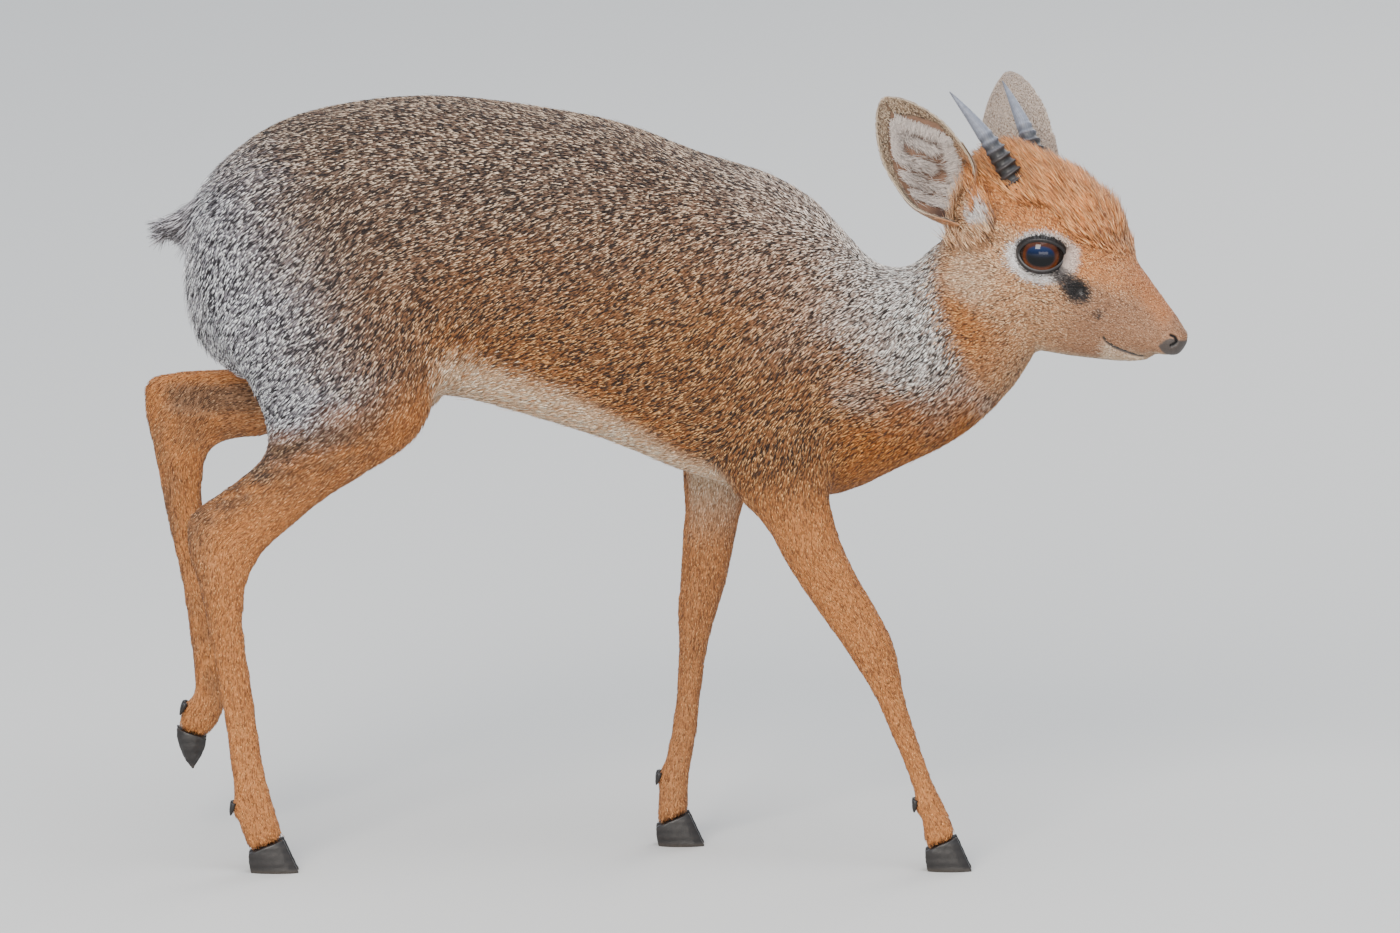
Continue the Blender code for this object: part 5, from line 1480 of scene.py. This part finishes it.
def ear_tufts(side_name, along, share, offset, way, length, width, lift, base, end, bends=0):
    """Hairs on the ear's sheet; way is how far each runs up the ear and across it."""
    step = 0.004
    count = len(along)
    offset, up_ear, across_ear, width, lift = (np.zeros(count) + value
                                               for value in (offset, *way, width, lift))
    here = ear_place(side_name, along, share, offset)
    rise = unit(ear_place(side_name, np.minimum(along + step, 1.0), share, offset)
                - ear_place(side_name, np.maximum(along - step, 0.0), share, offset))
    sideways = unit(ear_place(side_name, along, share + step, offset)
                    - ear_place(side_name, along, share - step, offset))
    normal = unit(np.cross(sideways, rise))
    outward = ear_place(side_name, along, share, offset + 0.001) - here
    normal = normal * (np.sign(np.sum(normal * outward, axis=1)) * np.sign(offset))[:, None]
    lie = unit(rise * up_ear[:, None] + sideways * across_ear[:, None])
    lie = unit(lie + np.cross(lie, normal) * draw.normal(0, 0.12, count)[:, None])
    uv = np.clip(np.stack([0.5 + 0.2 * share, along], axis=1), 0.01, 0.99)
    if bends:
        return tuft_mesh(here, normal, lie, length, width, lift, (base, end), uv, bends)
    return blade_mesh(here, normal, lie, length, width, lift, (base, end), uv)


def ear_rim_zone(along, share):
    """1 on the band of short brown fur inside the rim: wide at the tip and at the rear edge.

    Share is 1 at the ear's front edge here, and -1 at its rear edge.
    """
    front = np.interp(along, [0.0, 0.20, 0.35, 0.52, 0.62, 0.75, 0.86],
                      [0.22, 0.32, 0.50, 0.78, 0.80, 0.50, 0.0])
    rear = np.interp(along, [0.0, 0.20, 0.45, 0.65, 0.80, 0.88],
                     [0.50, 0.66, 0.72, 0.58, 0.36, 0.0])
    inside = np.where(share > 0, share - front, -share - rear)
    return ramp(inside, -0.04, 0.06)


# The white feathers inside an ear: rows from one place to another, up the ear and across it
# (1 is the front edge), the way their hairs run, and how many there are
FEATHERS = [
    ((0.83, 0.12), (0.50, 0.78), (-0.60, -0.80), 520), ((0.83, -0.22), (0.62, -0.52), (-0.88, 0.45), 460),
    ((0.61, -0.54), (0.38, 0.00), (-0.80, 0.55), 560), ((0.49, -0.64), (0.17, 0.06), (-0.80, 0.55), 560),
    ((0.34, -0.60), (0.08, -0.12), (-0.70, 0.60), 430), ((0.50, 0.76), (0.10, 0.22), (0.15, -0.95), 620),
    ((0.74, -0.16), (0.48, 0.28), (-0.85, 0.10), 330),
]


def ear_hair(side_name, material):
    """Short fur on the ear's back, brown fur inside its rim and white feathers in the cup."""
    front = -SIDES[side_name]
    sets = []
    count = EAR_BACK_HAIRS
    along, share = draw.uniform(0.02, 0.99, count), draw.uniform(-0.99, 0.99, count)
    base = np.tile(srgb(176, 156, 140), (count, 1)) * draw.uniform(0.90, 1.10, count)[:, None]
    base = mix(base, srgb(192, 132, 84), 0.8 * fall(along, 0.02, 0.30))
    base[draw.uniform(0, 1, count) < 0.07] = srgb(134, 112, 94)
    sets.append(ear_tufts(side_name, along, share, 0.0005, (1.0, 0.0), draw.uniform(0.0020, 0.0032, count),
                          0.00050, 0.10, base, base * 1.08))
    # brown fur inside the rim, with a pale fringe at the very edge
    count = EAR_RIM_HAIRS
    along, share = draw.uniform(0.03, 0.995, count), draw.uniform(-0.995, 0.995, count)
    keep = draw.uniform(0, 1, count) < ear_rim_zone(along, share) * 0.82
    along, share = along[keep], share[keep]
    count = len(along)
    lot = draw.uniform(0, 1, count)[:, None]
    base = np.where(lot > 0.80, srgb(84, 70, 60), srgb(146, 122, 98))
    base = np.where(lot < 0.30, srgb(196, 174, 148), base)
    base = base * draw.uniform(0.85, 1.10, count)[:, None]
    low_rear = (share < -0.5) * fall(along, 0.30, 0.50)
    base = mix(base, srgb(96, 88, 84), 0.5 * low_rear)
    low_front = (share > 0.5) * fall(along, 0.25, 0.48)
    base = mix(base, srgb(176, 112, 62), 0.6 * low_front)
    edge = ramp(np.maximum(np.abs(share), along ** 4), 0.955, 0.985) * ramp(along, 0.10, 0.28)
    base = mix(base, srgb(226, 206, 180), 0.85 * edge)
    outward = np.where(share > 0, 1.0, -1.0) * front
    sets.append(ear_tufts(side_name, along, share * front, -0.0005, (1.0, outward * 0.35),
                          draw.uniform(0.0019, 0.0032, count), 0.00050, 0.12, base * 0.85, base * 1.08))
    # an orange-brown ridge that flares in front of the lower edge and hides the join with the head
    count = EAR_RIDGE_HAIRS
    along = 0.42 * draw.uniform(0, 1, count) ** (1.0 if side_name == "right" else 2.2)
    share = 1.0 - 0.40 * draw.uniform(0, 1, count) ** 1.5
    base = np.tile(srgb(186, 124, 74), (count, 1)) * draw.uniform(0.75, 1.12, count)[:, None]
    base = mix(base, srgb(166, 146, 130), 0.9 * ramp(along, 0.08, 0.34))
    base[draw.uniform(0, 1, count) < 0.14] = srgb(92, 70, 56)
    long = (0.0030 + 0.0060 * fall(along, 0.05, 0.35)) * draw.uniform(0.8, 1.2, count)
    if side_name == "left":
        long = long * 0.6
    sets.append(ear_tufts(side_name, along, share * front, 0.0005, (0.75, 0.65 * front), long,
                          0.00052, 0.22, base * 0.8, base * 1.08, 1))
    for (along_a, share_a), (along_b, share_b), (rise, lean), count in FEATHERS:
        t = draw.uniform(0, 1, count)
        # the hairs stand in clumps along the row, and each clump fans out
        clump = np.round(t * 9) / 9
        t = 0.55 * t + 0.45 * clump
        along = along_a + (along_b - along_a) * t + draw.normal(0, 0.016, count)
        share = share_a + (share_b - share_a) * t + draw.normal(0, 0.045, count)
        fan = draw.normal(0, 0.22, count) + 0.5 * (t - clump) * 9
        white = np.tile(srgb(240, 228, 220), (count, 1)) * draw.uniform(0.76, 1.04, count)[:, None]
        sets.append(ear_tufts(side_name, np.clip(along, 0.03, 0.93), np.clip(share, -0.92, 0.96) * front,
                              -0.0010, (rise + 0.3 * fan, (lean + fan) * front),
                              draw.uniform(0.0060, 0.0110, count), 0.00032,
                              draw.uniform(0.10, 0.36, count), white * 0.80, white, 1))
    return coat_piece("ear_fur_" + side_name, sets, material, "rufous_coat")


def ear_base_hair(surface, material):
    """Longer hair on the head round each ear's root, which rises along the ear."""
    local = to_head(surface.centres)
    near = np.zeros(len(local))
    for side_name, side in SIDES.items():
        root, axis = (np.array(v) for v in EARS[side_name][:2])
        away = local - root
        away = away - (away @ unit(axis))[:, None] * unit(axis)
        gap = np.linalg.norm(away, axis=1)
        here = ramp(gap, 0.0085, 0.0110) * fall(gap, 0.0150, 0.0190) * (local[:, 1] * side > 0.008)
        near = np.maximum(near, here * (gap_to(local, root) < 0.028))
    roots, normal, _, uv, _ = grow(surface, near * EAR_BASE_DENSITY)
    count = len(roots)
    local = to_head(roots)
    lies = np.zeros((count, 3))
    for side_name, side in SIDES.items():
        axis = unit(np.array(EARS[side_name][1]))
        here = local[:, 1] * side > 0
        lies[here] = axis @ HEAD_TURN.T
    lies = lies - normal * np.sum(lies * normal, axis=1)[:, None] * 0.8 + draw.normal(0, 0.12, (count, 3))
    coat = markings(roots + draw.normal(0, 0.0012, (count, 3)), normal)
    length = draw.uniform(0.0065, 0.0110, count)
    sets = [tuft_mesh(roots, normal, unit(lies), length, np.full(count, 0.00050),
                      draw.uniform(0.15, 0.45, count), hair_colours(coat), uv)]
    return coat_piece("ear_base_fur", sets, material, "rufous_coat")


# Crest and tail hair

def make_crest(surface, material):
    """Longer hair over the crown and forehead."""
    centres = surface.centres
    local = to_head(centres)
    top = (head_share(centres) * ramp(local[:, 2], 0.014, 0.022) * fall(local[:, 0], 0.036, 0.050)
           * fall(np.abs(local[:, 1]), 0.018, 0.026))
    for side in SIDES.values():
        gap = gap_to(centres, EYES[side][0])
        top = top * ramp(gap, EYE_RADIUS + 0.0065, EYE_RADIUS + 0.0100)
    roots, normal, lies, uv, _ = grow(surface, top * CREST_DENSITY)
    count = len(roots)
    local = to_head(roots)
    rise = fall(local[:, 0], 0.020, 0.048)
    length = (0.0050 + 0.0065 * rise) * draw.uniform(0.75, 1.2, count)
    lift = (0.14 + 0.20 * rise) * draw.uniform(0.5, 1.5, count)
    width = np.full(count, 0.00050) * draw.uniform(0.8, 1.2, count)
    coat = markings(roots, normal)
    streak = ripple(local * np.array([0.22, 1.0, 1.0]), 0.0045, 83)[:, None]
    coat[:, 0:9] *= 1 + 0.22 * streak
    colours = hair_colours(np.clip(coat, 0, 1), 0.14)
    sets = []
    straight = draw.uniform(0, 1, count) < 0.75
    for kind, maker in ((True, blade_mesh), (False, tuft_mesh)):
        i = straight == kind
        sets.append(maker(roots[i], normal[i], lies[i], length[i], width[i], lift[i],
                          [c[i] for c in colours], uv[i]))
    return coat_piece("crest", sets, material, "rufous_coat")


def make_tail_hair(surface, material):
    """White-tipped hair round the short tail."""
    roots, normal, _, uv, _ = grow(surface, (surface.zones == ZONES.index("tail")) * TAIL_DENSITY)
    count = len(roots)
    way = unit(np.array([-0.88, 0.0, -0.48]))
    lies = unit(way - normal * (normal @ way)[:, None] * 0.9 + draw.normal(0, 0.08, (count, 3)))
    length = draw.uniform(0.008, 0.0130, count)
    lift = draw.uniform(0.06, 0.26, count)
    width = np.full(count, 0.00062)
    # painted shade: hair bases are grey where the tail faces up and painted dark where it faces down
    upper = ramp(normal[:, 2], -0.5, 0.2)[:, None]
    base = srgb(112, 108, 112) * upper + srgb(64, 57, 56) * (1 - upper)
    end = srgb(206, 202, 206) * draw.uniform(0.62, 1.05, count)[:, None]
    dark = draw.uniform(0, 1, count) < 0.40
    end[dark] = srgb(84, 78, 80)
    sets = [tuft_mesh(roots, normal, lies, length, width, lift, (base, end), uv, 2)]
    return coat_piece("tail_hair", sets, material, "grey_coat")


# Set: floor, lights and camera

def make_set():
    """Floor, sky, lights and the photograph's camera."""
    corners = [(-1, -1), (1, -1), (1, 1), (-1, 1)]
    floor = new_object("floor", [(x * FLOOR_HALF, y * FLOOR_HALF, 0) for x, y in corners], [(0, 1, 2, 3)])
    floor.data.materials.append(new_material("paper", 0.9, Base_Color=FLOOR_COLOUR)[0])
    world = bpy.data.worlds.new("studio")
    bpy.context.scene.world = world
    world.use_nodes = True
    sky_tree = world.node_tree
    background = sky_tree.nodes["Background"]
    background.inputs["Color"].default_value = SKY_COLOUR
    aim = add_node(sky_tree, "ShaderNodeTexCoord")
    parts = add_node(sky_tree, "ShaderNodeSeparateXYZ")
    sky_tree.links.new(aim.outputs["Generated"], parts.inputs[0])
    rise = map_range(sky_tree, parts.outputs["Z"], 0.10, 0.60, 0.42, 1.50, kind="SMOOTHSTEP")
    sky_tree.links.new(rise, background.inputs["Strength"])
    for name, spot, width, height, power, colour in LIGHTS:
        light = bpy.data.lights.new(name, "AREA")
        light.shape = "RECTANGLE"
        light.size = width
        light.size_y = height
        light.energy = power
        light.color = colour
        obj = add_object(name, light)
        obj.location = spot
        obj.rotation_euler = (LIGHTS_AIM - Vector(spot)).to_track_quat("-Z", "Y").to_euler()
        obj.visible_camera = False
    camera = bpy.data.cameras.new("camera")
    camera.sensor_width = SENSOR_WIDTH
    camera.lens = SENSOR_WIDTH * CAMERA_DISTANCE / FRAME_WIDTH
    camera.clip_end = 100
    view = add_object("camera", camera)
    back = Vector((0, -math.cos(CAMERA_ELEVATION), math.sin(CAMERA_ELEVATION)))
    view.location = FRAME_MIDDLE + back * CAMERA_DISTANCE
    view.rotation_euler = (-back).to_track_quat("-Z", "Y").to_euler()
    bpy.context.scene.camera = view


def main():
    make_set()
    skin, mouth_gap, nostril_gap = make_skin()
    surface = skin_finish(skin, mouth_gap, nostril_gap)
    place(skin, skin_material(), "coat", *FLESH)
    fur = fur_material()
    make_coat(surface, fur)
    make_crest(surface, fur)
    ear_base_hair(surface, fur)
    make_tail_hair(surface, fur)
    leather_skin = tint_material("lid_leather", 0.42, 2500.0, 0.2, 900.0, 0.4, 0.0002)
    horn = tint_material("horn_sheath", 0.46, 1800.0, 0.18, 500.0, 0.25, 0.0002)
    hoof = tint_material("hoof_wall", 0.38, 1500.0, 0.18, 600.0, 0.25, 0.0002)
    ear_skin = tint_material("ear_skin", 0.62, 1800.0, 0.12, 700.0, 0.3, 0.0002)
    for side_name in SIDES:
        make_eye(side_name)
        make_lids(side_name, leather_skin)
        make_lashes(side_name, fur)
        make_horn(side_name, horn)
        make_ear(side_name, ear_skin)
        ear_hair(side_name, fur)
    make_hooves(hoof)
    make_dewclaws(hoof)


main()
